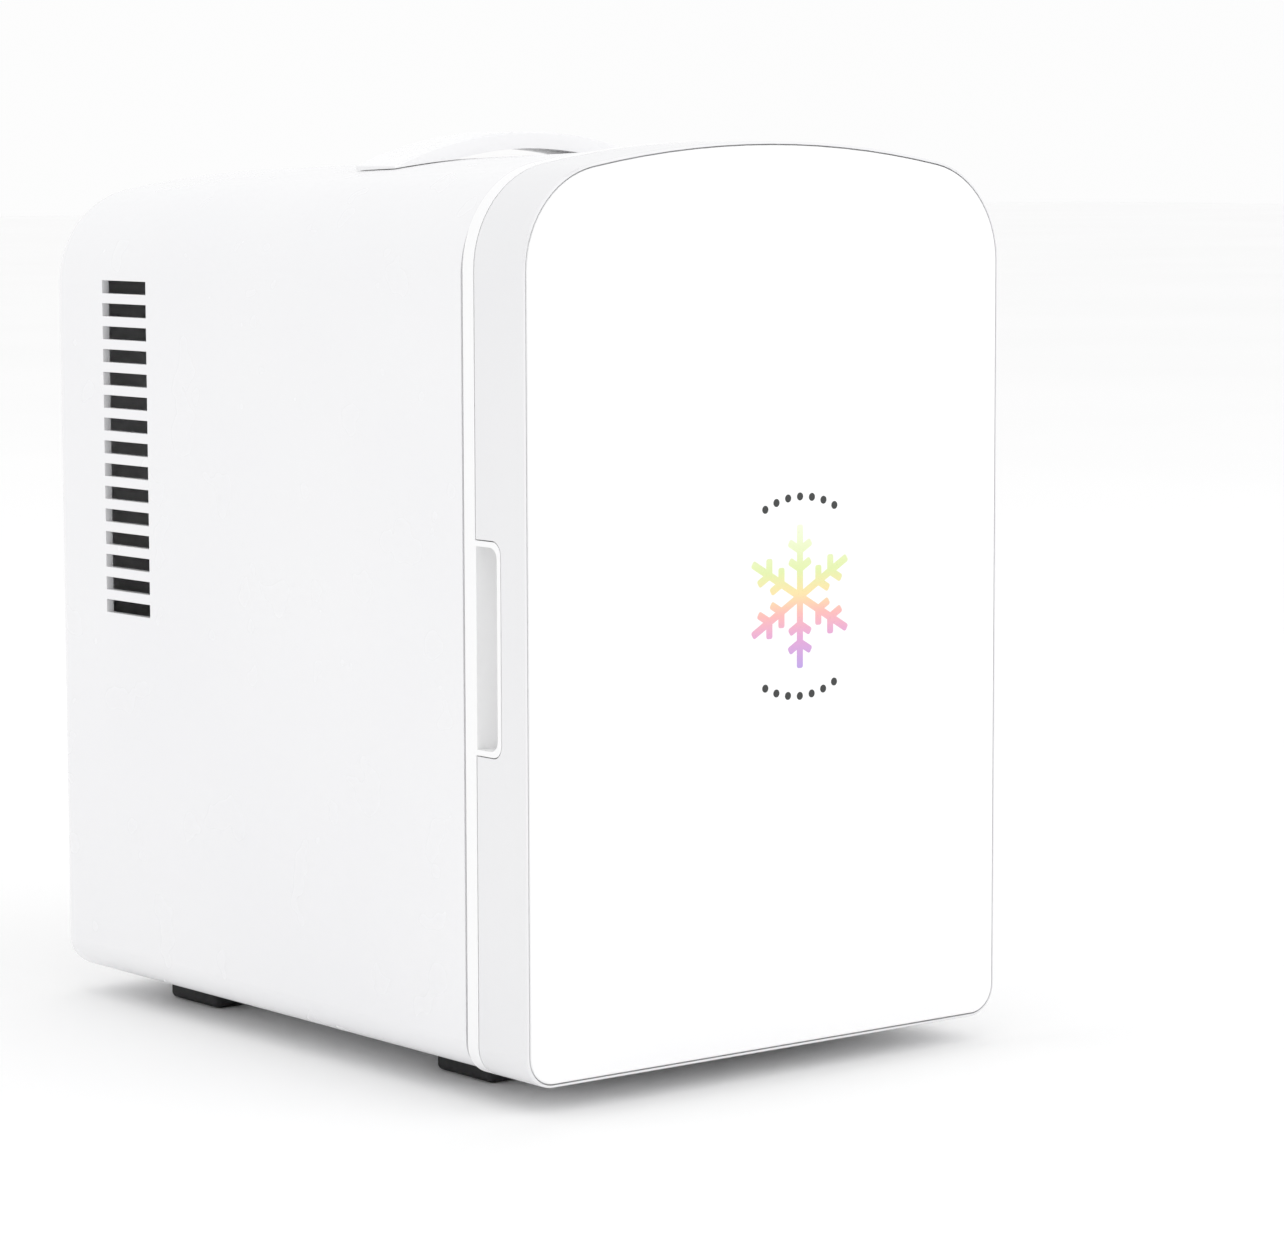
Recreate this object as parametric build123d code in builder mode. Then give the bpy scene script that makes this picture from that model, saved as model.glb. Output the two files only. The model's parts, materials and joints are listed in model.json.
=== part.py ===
"""Thermoelectric mini fridge: a door assembly on a tapered, arch-topped cabinet. Millimetres."""

import os
from math import atan2, degrees, radians, sin, sqrt

from build123d import *

os.makedirs("parts", exist_ok=True)

# Overall. X runs left to right, the front faces -Y, Z is up from the surface it stands on.
width = 175.0
depth = 243.5
door_height = 258.7
ground_gap = 7.5
crown_radius = 343.0
shoulder_radius = 29.6
corner_radius = 9.15

# Door, front to back.
door_thickness = 27.6
door_wall = 2.2
panel_thickness = 2.0
panel_proud = 0.4
panel_edge = 0.7
rim_width = 0.75
panel_gap = 0.3
rim_edge = 0.6
frame_thickness = 4.9
seam = 0.4
door_gap = 0.9
cup_length = 60.0
cup_bottom = 98.0
cup_width = 11.3
cup_corner = 4.0
cup_gap = 0.3
cup_wall = 1.6
cup_reach = 13.0
pan_depth = 10.0
pan_wall = 1.6
pan_corner = 10.0
pan_edge = 3.0
window_margin = 4.0
liner_flange = 7.0
liner_play = 1.0
striker_thickness = 1.2
gasket_width = 6.0
gasket_groove = 2.2
gasket_proud = 0.6
gasket_offset = 1.0
gasket_play = 0.2
gasket_corner = 16.0
plug_play = 0.5
magnet_size = (6.0, 2.2, 30.0)
magnet_heights = (65.0, 191.0)
magnet_inset = 7.5

# Cabinet.
shell_wall = 2.4
rear_wall = 3.8
rear_edge = 8.0
front_drop = 1.5
rear_drop = 8.5
cabinet_lift = 0.8
face_thickness = 5.0
fit_gap = 0.15
hole_play = 0.05
foam_gap = 0.4
vent_count = 15
vent_pitch = 7.0
vent_height = 4.0
vent_length = 24.6
vent_top = 224.6
vent_from_rear = 30.5

# Cavity and shelf.
cavity_width = 132.0
cavity_bottom = 27.0
cavity_height = 198.0
cavity_depth = 137.25
cavity_corner = 12.0
cavity_rear_edge = 6.0
liner_wall = 1.6
tub_flange = 4.0
shelf_height = 124.0
shelf_thickness = 2.6
shelf_depth = 53.0
shelf_play = 0.5
rail_size = (4.0, 60.0, 2.0)
rail_heights = (84.0, 124.0)
shelf_lip = 7.0
shelf_slot_width = 4.0
shelf_slot_pitch = 9.0
shelf_slot_count = 13
shelf_slot_margin = 14.0

# Door bin.
bin_width = 100.0
bin_depth = 30.0
bin_bottom = 48.0
bin_height = 40.0
bin_wall = 1.8
bin_back_height = 54.0
bin_play = 0.35
bin_lift = 10.0
bin_edge = 3.6
peg_spacing = 60.0
peg_height = 95.0
peg_radius = 1.6
peg_head_radius = 3.2
peg_head = 1.2

# Hinge.
hinge_heights = (52.0, 204.0)
knuckle_radius = 3.2
knuckle_play = 0.5
knuckle_end = 7.0
knuckle_middle = 11.4
knuckle_gap = 0.3
pin_radius = 1.25
pin_play = 0.05
pin_head_radius = 2.2
pin_head = 0.9
leaf_thickness = 1.5
leaf_width = 8.7
leaf_play = 0.2
leaf_screw_spread = 16.0

# Carry handle.
handle_from_front = 121.0
handle_rise = 7.65
handle_radius = 130.0
handle_width = 20.0
handle_thickness = 5.0
handle_half_span = 50.0
handle_gap = 0.25
handle_edge = 0.5
handle_travel = 17.0
leg_center = 38.0
leg_thickness = 4.0
leg_width = 14.0
leg_play = 0.5
leg_foot = (8.0, 3.0)
guide_wall = 1.6

# Cooling stack.
module_height = 165.0
module_size = 40.0
module_thickness = 3.8
spacer_length = 16.0
cold_base = (84.0, 60.0, 4.0)
cold_fin = (1.2, 12.0)
cold_fin_count = 10
cold_fin_pitch = 5.6
hot_base = (96.0, 96.0, 5.0)
hot_fin = (1.4, 23.0)
hot_fin_count = 16
hot_fin_pitch = 6.2
clamp_spread = (68.0, 40.0)
bulkhead_thickness = 2.0
bulkhead_window = 44.0
module_gap = 0.4
module_play = 0.5
washer_radius = 3.8
washer_thickness = 0.8
clamp_play = 0.6

# Fans.
cold_fan = {
    "side": 50.0,
    "thick": 10.0,
    "bore": 23.0,
    "hub": 8.0,
    "shaft": 1.0,
    "spread": 40.0,
    "screw": 1.3,
    "blades": 7,
}
hot_fan = {
    "side": 80.0,
    "thick": 15.0,
    "bore": 38.4,
    "hub": 17.0,
    "shaft": 2.1,
    "spread": 71.5,
    "screw": 1.45,
    "blades": 7,
}
fan_corner = 3.0
fan_play = 0.6
fan_gap = 1.2
shaft_play = 0.06
shaft_setback = 3.5
spoke_width = 3.0
spoke_thickness = 1.6
blade_pitch = 38.0
blade_thickness = 1.1

# Cold air cover.
cover_size = (96.0, 72.0, 34.0)
cover_wall = 1.6
cover_tab = 10.0
cover_tab_spread = (108.0, 56.0)
cover_corner = 6.0
cover_edge = 1.2
grille_slot = 3.0
grille_pitch = 6.0

# Rear cover and what it carries.
cover_recess = 2.0
rear_cover_thickness = 1.8
rear_cover_inset = 12.0
rear_opening_inset = 18.0
rear_screw_heights = (40.0, 128.0, 204.0)
rear_screw_inset = 15.0
socket_pocket = (120.0, 38.0, 4.25)
socket_height = 56.0
socket_flange = 1.5
ac_body = (22.0, 13.0, 16.0)
ac_flange = (28.0, 18.0)
ac_lobe = 4.3
socket_spacing = 36.0
dc_radius = 9.0
dc_bore = 7.6
dc_flange_radius = 11.0
switch_body = (24.0, 14.0, 15.3)
pocket_corner = 5.0
socket_depth = 12.0
socket_pin = 1.2
socket_pin_setback = 2.5
switch_flange = (27.0, 17.0)
rocker_radius = 10.0
rocker_width = 9.0
rocker_reach = 6.0
rocker_pin = 1.0
rocker_play = 0.4
rocker_sink = 4.5
led_offset = 19.0
led_radius = 2.5
led_proud = 2.0
led_length = 8.0
rocker_facet = 7.9
rocker_dip = 0.8
rear_boss_radius = 3.0
rear_boss_length = 5.0
fan_boss_radius = 3.4

# Power board.
board_size = (112.0, 50.0, 1.6)
board_height = 62.0
board_standoff = 6.0
board_hole_spread = (100.0, 40.0)
board_boss_radius = 3.0
transformer_size = (28.0, 24.0, 20.0)
transformer_x = -8.0
capacitors = ((-36.0, 8.0, 7.0, 18.0), (-36.0, -10.0, 5.0, 16.0), (16.0, -12.0, 5.0, 16.0))
heat_tab = (2.0, 32.0, 16.0)
heat_tab_x = 30.0

# Feet.
foot_size = (14.0, 27.0)
foot_across = 122.0
front_foot_from_front = 56.5
rear_foot_from_front = 197.5
foot_edge = 2.0
foot_counterbore = 4.5
foot_boss = 8.0
foot_boss_radius = 4.0

# Screws.
small_screw = {"shank": 1.1, "head": 2.0, "rise": 1.0}
leaf_screw = {"shank": 0.9, "head": 1.8, "rise": 0.7}
cover_screw = {"shank": 1.3, "head": 2.5, "rise": 1.2}
clamp_screw = {"shank": 1.45, "head": 3.0, "rise": 2.0}
foot_screw = {"shank": 1.5, "head": 3.2, "rise": 2.0}
cold_fan_screw = {"shank": 1.3, "head": 2.3, "rise": 1.0}
hot_fan_screw = {"shank": 1.45, "head": 2.6, "rise": 1.0}
leaf_screw_length = 3.4
leaf_screw_depth = 4.2
liner_screw_depth = 4.2
liner_screw_across = 123.0
liner_screw_heights = (45.0, 126.0, 207.0)
tab_screw_length = 7.0

# Places worked out from the sizes above.
front = -depth / 2
rear = depth / 2
rim_front = front + panel_proud
panel_back = front + panel_thickness
door_back = front + door_thickness
strip_front = door_back - frame_thickness
shell_back = strip_front - seam
cab_front = door_back + door_gap
face_back = cab_front + face_thickness
cavity_mid = cavity_bottom + cavity_height / 2
cavity_top = cavity_bottom + cavity_height
cavity_rear = cab_front + cavity_depth
spacer_rear = cavity_rear + spacer_length
module_rear = spacer_rear + module_thickness
bulkhead_rear = module_rear - module_gap
bulkhead_front = bulkhead_rear - bulkhead_thickness
hot_base_rear = module_rear + hot_base[2]
hot_fan_front = hot_base_rear + hot_fin[1] + fan_gap
hot_fan_rear = hot_fan_front + hot_fan["thick"]
cold_base_front = cavity_rear - cold_base[2]
cover_front = cavity_rear - cover_size[2]
cold_fan_rear = cover_front + cover_wall + fit_gap + cold_fan["thick"]
hinge_x = width / 2
hinge_y = (door_back + cab_front) / 2
hinge_half = knuckle_end + knuckle_gap + knuckle_middle / 2
hinge_reach = hinge_half + pin_head + knuckle_play
leaf_edge = hinge_x - knuckle_radius - knuckle_play
gasket_inner = cavity_width + 2 * gasket_offset
gasket_outer = gasket_inner + 2 * gasket_width
gasket_rise = gasket_outer - cavity_width
pan_width = cavity_width - 2 * (liner_play + liner_flange)
pan_back = door_back + pan_depth
handle_y = front + handle_from_front
recess_floor = rear - cover_recess
cover_outer = recess_floor + rear_cover_thickness
pocket_floor = cover_outer - socket_pocket[2]
pocket_inner = pocket_floor - rear_cover_thickness
socket_face = pocket_floor + socket_flange
rocker_y = socket_face - rocker_sink
cabinet_bottom = ground_gap + cabinet_lift
board_back = bulkhead_rear + board_standoff + board_size[2]
door_front_wall = panel_back + door_wall
gasket_tall = cavity_height + gasket_rise
pan_low = cavity_bottom + liner_play + liner_flange
pan_high = cavity_top - liner_play - liner_flange
window_width = pan_width - 2 * window_margin
window_low = pan_low + window_margin
window_high = pan_high - window_margin
window_corner = pan_corner - window_margin / 2
notch_front = shell_back - cup_width
cup_top = cup_bottom + cup_length
cup_mid = (cup_bottom + cup_top) / 2
scoop_front = notch_front + cup_gap + cup_wall
scoop_corner = cup_corner - cup_gap - 0.5
peg_neck = bin_wall + 2 * bin_play
bin_front = pan_back + bin_play
foam_front = face_back + liner_wall + foam_gap
shelf_front = cover_front - shelf_play - shelf_depth
vent_mid = vent_top - vent_height / 2 - vent_pitch * (vent_count - 1) / 2
board_front = board_back - board_size[2]
foot_spots = [
    (side * foot_across / 2, front + place)
    for side in (-1, 1)
    for place in (front_foot_from_front, rear_foot_from_front)
]
rear_screw_spots = [
    (side * (width / 2 - rear_screw_inset), height)
    for side in (-1, 1)
    for height in rear_screw_heights
]
magnet_spots = [(magnet_inset - width / 2, height) for height in magnet_heights]
leaf_screw_spots = [
    (leaf_edge - leaf_width / 2, height + end * leaf_screw_spread / 2)
    for height in hinge_heights
    for end in (-1, 1)
]
liner_screw_spots = [
    (side * liner_screw_across / 2, height) for side in (-1, 1) for height in liner_screw_heights
]
peg_spots = [(-peg_spacing / 2, peg_height), (peg_spacing / 2, peg_height)]
leg_spots = [(-leg_center, handle_y), (leg_center, handle_y)]
guide_size = (
    leg_foot[0] + 2 * (leg_play + guide_wall),
    leg_width + 2 * (leg_play + guide_wall),
)


def facing(y, z=0.0):
    """A plane at depth y that faces the front, so a positive extrusion comes forward."""
    return Plane(origin=(0, y, z), x_dir=(1, 0, 0), z_dir=(0, -1, 0))


def behind(y, z=0.0):
    """A plane at depth y that faces the rear."""
    return Plane(origin=(0, y, z), x_dir=(-1, 0, 0), z_dir=(0, 1, 0))


def arch(inset=0.0, drop=0.0, lift=0.0):
    """The fridge's arch-topped section, moved in by inset."""
    half = width / 2 - inset
    low = ground_gap + lift + inset
    top = ground_gap + door_height - drop - inset
    corner = max(corner_radius - inset, 2.0)
    shoulder = max(shoulder_radius - inset, 2.0)
    crown = crown_radius - inset
    rise = sqrt((crown - shoulder) ** 2 - (half - shoulder) ** 2)
    shoulder_z = top - crown + rise
    turn = degrees(atan2(rise, half - shoulder))
    with BuildSketch() as section:
        with BuildLine():
            Line((0, low), (half - corner, low))
            CenterArc((half - corner, low + corner), corner, 270, 90)
            Line((half, low + corner), (half, shoulder_z))
            CenterArc((half - shoulder, shoulder_z), shoulder, 0, turn)
            CenterArc((0, top - crown), crown, turn, 90 - turn)
            mirror(about=Plane.YZ)
        make_face()
    return section.sketch


def drop_at(y):
    """How far the cabinet's top lies below the door's at depth y."""
    return front_drop + (rear_drop - front_drop) * (y - cab_front) / (rear - cab_front)


def crown_at(x, y):
    """The height of the cabinet's crown."""
    top = ground_gap + door_height - drop_at(y)
    return top - crown_radius + sqrt(crown_radius**2 - x**2)


def cabinet_block(inset, y_front, y_rear, edge=0.0):
    """A stretch of the tapering cabinet, moved in by inset."""
    with BuildPart() as block:
        for y in (y_front, y_rear):
            with BuildSketch(facing(y)):
                add(arch(inset, drop_at(y), cabinet_lift))
        loft(ruled=True)
        if edge:
            fillet(block.faces().sort_by(Axis.Y)[-1].edges(), edge)
    return block.part


def block(size_x, low, high, y_front, y_rear, corner=0.0, edge=0.0, x=0.0):
    """A block from low to high, with its long edges and its rear rim rounded on request."""
    with BuildPart() as made:
        with BuildSketch(facing(y_rear)):
            with Locations((x, (low + high) / 2)):
                if corner:
                    RectangleRounded(size_x, high - low, corner)
                else:
                    Rectangle(size_x, high - low)
        extrude(amount=y_rear - y_front)
        if edge:
            fillet(made.faces().sort_by(Axis.Y)[-1].edges(), edge)
    return made.part


def rods(y, spots, radius, length):
    """Cylinders along Y, to add or to cut. They start at depth y and a positive length comes forward."""
    with BuildPart() as made:
        with BuildSketch(facing(y)):
            with Locations(*spots):
                Circle(radius)
        extrude(amount=length)
    return made.part


def screws(y, spots, way, screw, length):
    """Cross-head screws along Y, heads standing at depth y. way is 1 where they face the front."""
    with BuildPart() as made:
        add(rods(y, spots, screw["head"], way * screw["rise"]))
        add(rods(y, spots, screw["shank"], -way * length))
        with BuildSketch(facing(y - way * screw["rise"])):
            with Locations(*spots):
                Rectangle(screw["head"] * 1.2, screw["head"] * 0.25)
                Rectangle(screw["head"] * 0.25, screw["head"] * 1.2)
        extrude(amount=-way * screw["rise"] / 2, mode=Mode.SUBTRACT)
    return made


def grid(spread_x, spread_y, x=0.0, y=0.0):
    """The four corners of a rectangle about a point."""
    return [(x + i * spread_x / 2, y + j * spread_y / 2) for i in (-1, 1) for j in (-1, 1)]


def fan_frame(fan, plane):
    """A square fan frame on a plane: spokes, hub plate and shaft stand at the plane."""
    with BuildPart() as frame:
        with BuildSketch(plane):
            RectangleRounded(fan["side"], fan["side"], fan_corner)
            Circle(fan["bore"], mode=Mode.SUBTRACT)
            with Locations(*grid(fan["spread"], fan["spread"])):
                Circle(fan["screw"] + hole_play, mode=Mode.SUBTRACT)
        extrude(amount=fan["thick"])
        with BuildSketch(plane):
            Circle(fan["hub"])
            with PolarLocations((fan["hub"] + fan["bore"]) / 2, 4, 45):
                Rectangle(fan["bore"] - fan["hub"] + 2, spoke_width)
        extrude(amount=spoke_thickness)
        with BuildSketch(plane):
            Circle(fan["shaft"])
        extrude(amount=fan["thick"] - shaft_setback)
    return frame


def fan_rotor(fan, plane):
    """A fan wheel whose blind bore runs on its frame's shaft."""
    low = spoke_thickness + fan_play
    high = fan["thick"] - fan_play
    tall = high - low
    chord = (tall - blade_thickness) / sin(radians(blade_pitch))
    tip = fan["bore"] - fan_play
    with BuildPart(plane) as rotor:
        with Locations((0, 0, (low + high) / 2)):
            with PolarLocations((fan["hub"] + tip) / 2, fan["blades"]):
                Box(tip - fan["hub"] + 4, chord, blade_thickness, rotation=(blade_pitch, 0, 0))
            Cylinder(tip, fan["thick"], mode=Mode.INTERSECT)
            Cylinder(fan["hub"], tall)
        with Locations((0, 0, low)):
            Cylinder(
                fan["shaft"] + shaft_play,
                high - low - 1,
                align=(Align.CENTER, Align.CENTER, Align.MIN),
                mode=Mode.SUBTRACT,
            )
    return rotor


def hinge_room(face):
    """What the knuckles, and a leaf sunk in a face, need cut away."""
    with BuildPart() as room:
        for height in hinge_heights:
            with BuildSketch(Plane.XY.offset(height - hinge_reach)):
                with Locations((hinge_x, hinge_y)):
                    Circle(knuckle_radius + knuckle_play)
                with Locations((leaf_edge - leaf_width - leaf_play, face)):
                    Rectangle(
                        hinge_x - leaf_edge + leaf_width + leaf_play,
                        2 * leaf_thickness,
                        align=(Align.MIN, Align.CENTER),
                    )
            extrude(amount=2 * hinge_reach)
    return room.part


def hinge_leaves(face, way, spans):
    """Two leaves sunk in a face, with knuckles on the pin's axis over the given spans."""
    inner = face - way * leaf_thickness
    with BuildPart() as leaves:
        for height in hinge_heights:
            with BuildSketch(facing(face, height)):
                with Locations((leaf_edge - leaf_width / 2, 0)):
                    Rectangle(leaf_width, 2 * hinge_half)
                for low, high in spans:
                    with Locations((leaf_edge - 1, (low + high) / 2)):
                        Rectangle(
                            hinge_x - leaf_edge + 1,
                            high - low,
                            align=(Align.MIN, Align.CENTER),
                        )
            extrude(amount=way * leaf_thickness)
            for low, high in spans:
                with BuildSketch(Plane.XY.offset(height + low)):
                    with Locations((hinge_x, hinge_y)):
                        Circle(knuckle_radius)
                extrude(amount=high - low)
            with BuildSketch(Plane.XY.offset(height - hinge_half)):
                with Locations((hinge_x, hinge_y)):
                    Circle(pin_radius + pin_play)
            extrude(amount=2 * hinge_half, mode=Mode.SUBTRACT)
        add(
            rods(face, leaf_screw_spots, leaf_screw["head"] + hole_play, way * leaf_screw["rise"]),
            mode=Mode.SUBTRACT,
        )
        add(
            rods(inner, leaf_screw_spots, leaf_screw["shank"] + hole_play, -way * leaf_thickness),
            mode=Mode.SUBTRACT,
        )
    return leaves


handle_peak = crown_at(0, handle_y) + handle_rise
# The handle's legs end below the shell by the travel, and stop under it when lifted.
foot_top = (
    crown_at(leg_center + leg_foot[0] / 2, handle_y + leg_width / 2)
    - shell_wall
    - leg_play
    - handle_travel
)
leg_top = (
    handle_peak
    - handle_radius
    + sqrt(handle_radius**2 - (leg_center + leg_thickness / 2) ** 2)
    - 1
)
guide_bottom = foot_top - leg_foot[1] - leg_play - guide_wall
clamp_spots = grid(*clamp_spread, 0, module_height)
cover_tab_spots = grid(*cover_tab_spread, 0, module_height)
hot_fan_spots = grid(hot_fan["spread"], hot_fan["spread"], 0, module_height)
board_spots = grid(*board_hole_spread, 0, board_height)


# Door

with BuildPart() as front_panel:
    with BuildSketch(facing(panel_back)):
        add(arch(rim_width + panel_gap))
    extrude(amount=panel_thickness)
    fillet(front_panel.faces().sort_by(Axis.Y)[0].edges(), panel_edge)

with BuildPart() as door_shell:
    with BuildSketch(facing(shell_back)):
        add(arch())
    extrude(amount=shell_back - rim_front)
    fillet(door_shell.faces().sort_by(Axis.Y)[0].edges(), rim_edge)
    with BuildSketch(facing(panel_back)):
        add(arch(rim_width))
    extrude(amount=panel_thickness, mode=Mode.SUBTRACT)
    with BuildSketch(facing(shell_back)):
        add(arch(door_wall))
    extrude(amount=shell_back - door_front_wall, mode=Mode.SUBTRACT)
    # Notch in the left side that the grip cup fills.
    with BuildSketch(Plane.YZ.offset(-width / 2 - 1)):
        with Locations((notch_front + cup_width, cup_mid)):
            RectangleRounded(2 * cup_width, cup_length, cup_corner)
    extrude(amount=door_wall + 2, mode=Mode.SUBTRACT)

# The space for the fingers: a quarter ellipse whose floor runs out at the strip.
with BuildPart() as scoop:
    with BuildSketch(Plane.XY.offset(cup_bottom)):
        with Locations((-width / 2, scoop_front)):
            Ellipse(cup_reach, strip_front - seam - scoop_front)
            Rectangle(
                2 * cup_reach,
                cup_width,
                align=(Align.CENTER, Align.MAX),
                mode=Mode.SUBTRACT,
            )
    extrude(amount=cup_length)
    with BuildSketch(Plane.YZ.offset(-width / 2 - cup_reach)):
        with Locations((scoop_front + cup_width, cup_mid)):
            RectangleRounded(2 * cup_width, cup_length - 2 * (cup_gap + cup_wall), scoop_corner)
    extrude(amount=2 * cup_reach, mode=Mode.INTERSECT)

with BuildPart() as door_frame:
    with BuildSketch(facing(door_back)):
        add(arch())
    extrude(amount=frame_thickness)
    # Grip cup: a block that fills the shell's notch, then the scoop.
    with BuildSketch(Plane.YZ.offset(-width / 2)):
        with Locations((notch_front + cup_gap + cup_width, cup_mid)):
            RectangleRounded(2 * cup_width, cup_length - 2 * cup_gap, cup_corner - cup_gap)
        with Locations((strip_front, cup_mid)):
            Rectangle(
                2 * cup_width,
                cup_length,
                align=(Align.MIN, Align.CENTER),
                mode=Mode.SUBTRACT,
            )
    extrude(amount=cup_reach + cup_wall)
    add(scoop.part, mode=Mode.SUBTRACT)
    # Window for the insulation's plug.
    add(
        block(window_width, window_low, window_high, strip_front, door_back, window_corner),
        mode=Mode.SUBTRACT,
    )
    # Gasket groove.
    with BuildSketch(facing(door_back)):
        with Locations((0, cavity_mid)):
            RectangleRounded(gasket_outer, gasket_tall, gasket_corner)
            RectangleRounded(
                gasket_inner,
                gasket_tall - 2 * gasket_width,
                gasket_corner - gasket_width,
                mode=Mode.SUBTRACT,
            )
    extrude(amount=gasket_groove, mode=Mode.SUBTRACT)
    # Magnet pockets.
    with BuildSketch(facing(door_back)):
        with Locations(*magnet_spots):
            Rectangle(magnet_size[0], magnet_size[2])
    extrude(amount=magnet_size[1], mode=Mode.SUBTRACT)
    # Room for the hinge knuckles and leaves, and the pilot holes.
    add(hinge_room(door_back), mode=Mode.SUBTRACT)
    add(
        rods(door_back, leaf_screw_spots, leaf_screw["shank"] + hole_play, leaf_screw_depth),
        mode=Mode.SUBTRACT,
    )
    add(
        rods(door_back, liner_screw_spots, small_screw["shank"] + hole_play, liner_screw_depth),
        mode=Mode.SUBTRACT,
    )

with BuildPart() as door_insulation:
    with BuildSketch(facing(strip_front - foam_gap)):
        add(arch(door_wall + foam_gap))
    extrude(amount=strip_front - door_front_wall - 2 * foam_gap)
    add(
        block(
            2 * (cup_reach + cup_wall + foam_gap),
            cup_bottom - foam_gap,
            cup_top + foam_gap,
            notch_front - foam_gap,
            strip_front,
            x=-width / 2,
        ),
        mode=Mode.SUBTRACT,
    )
    add(
        block(
            window_width - 2 * plug_play,
            window_low + plug_play,
            window_high - plug_play,
            strip_front - foam_gap,
            pan_back - pan_wall - foam_gap,
            window_corner - plug_play,
        )
    )

with BuildPart() as door_liner:
    add(
        block(
            cavity_width - 2 * liner_play,
            cavity_bottom + liner_play,
            cavity_top - liner_play,
            door_back,
            door_back + pan_wall,
            cavity_corner - liner_play,
        )
    )
    add(block(pan_width, pan_low, pan_high, door_back, pan_back, pan_corner, pan_edge))
    add(
        block(
            pan_width - 2 * pan_wall,
            pan_low + pan_wall,
            pan_high - pan_wall,
            door_back,
            pan_back - pan_wall,
            pan_corner - pan_wall,
            pan_edge - pan_wall,
        ),
        mode=Mode.SUBTRACT,
    )
    add(
        rods(door_back, liner_screw_spots, small_screw["shank"] + hole_play, -pan_wall),
        mode=Mode.SUBTRACT,
    )
    # Mushroom pegs that hold the bin.
    add(rods(pan_back - pan_wall / 2, peg_spots, peg_radius, -pan_wall / 2 - peg_neck))
    add(rods(pan_back + peg_neck, peg_spots, peg_head_radius, -peg_head))

door_liner_screws = screws(
    door_back + pan_wall, liner_screw_spots, -1, small_screw, pan_wall + liner_screw_depth - 0.3
)

with BuildPart() as door_gasket:
    with BuildSketch(facing(door_back + gasket_proud)):
        with Locations((0, cavity_mid)):
            RectangleRounded(
                gasket_outer - 2 * gasket_play,
                gasket_tall - 2 * gasket_play,
                gasket_corner - gasket_play,
            )
            RectangleRounded(
                gasket_inner + 2 * gasket_play,
                gasket_tall - 2 * gasket_width + 2 * gasket_play,
                gasket_corner - gasket_width + gasket_play,
                mode=Mode.SUBTRACT,
            )
    extrude(amount=gasket_groove + gasket_proud)
    chamfer(door_gasket.faces().sort_by(Axis.Y)[-1].edges(), gasket_proud)

with BuildPart() as door_magnets:
    with BuildSketch(facing(door_back)):
        with Locations(*magnet_spots):
            Rectangle(magnet_size[0] - 2 * fit_gap, magnet_size[2] - 2 * fit_gap)
    extrude(amount=magnet_size[1])

door_hinge_leaves = hinge_leaves(door_back, 1, [(-knuckle_middle / 2, knuckle_middle / 2)])
door_hinge_screws = screws(
    door_back - leaf_screw["rise"], leaf_screw_spots, -1, leaf_screw, leaf_screw_length
)

with BuildPart() as door_bin:
    add(
        block(
            bin_width,
            bin_bottom,
            bin_bottom + bin_height,
            bin_front,
            bin_front + bin_depth,
            edge=bin_edge,
        )
    )
    with BuildSketch(Plane.XY.offset(bin_bottom + bin_wall)):
        with Locations((0, bin_front + bin_depth / 2)):
            RectangleRounded(bin_width - 2 * bin_wall, bin_depth - 2 * bin_wall, bin_wall)
    extrude(amount=bin_height, mode=Mode.SUBTRACT)
    add(
        block(
            bin_width,
            bin_bottom,
            bin_bottom + bin_back_height,
            bin_front,
            bin_front + bin_wall,
        )
    )
    # Keyholes: a narrow slot over each peg at rest, and a wide hole for lifting off.
    with BuildSketch(facing(bin_front + bin_wall)):
        with Locations(*[(x, z - bin_lift) for x, z in peg_spots]):
            Circle(peg_head_radius + bin_play)
        with Locations(*[(x, z - bin_lift / 2) for x, z in peg_spots]):
            SlotOverall(
                bin_lift + 2 * (peg_radius + bin_play),
                2 * (peg_radius + bin_play),
                rotation=90,
            )
    extrude(amount=bin_wall, mode=Mode.SUBTRACT)
    fillet(door_bin.edges().filter_by(Axis.Y).group_by(Axis.Z)[-1], bin_edge)

# Cabinet

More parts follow.
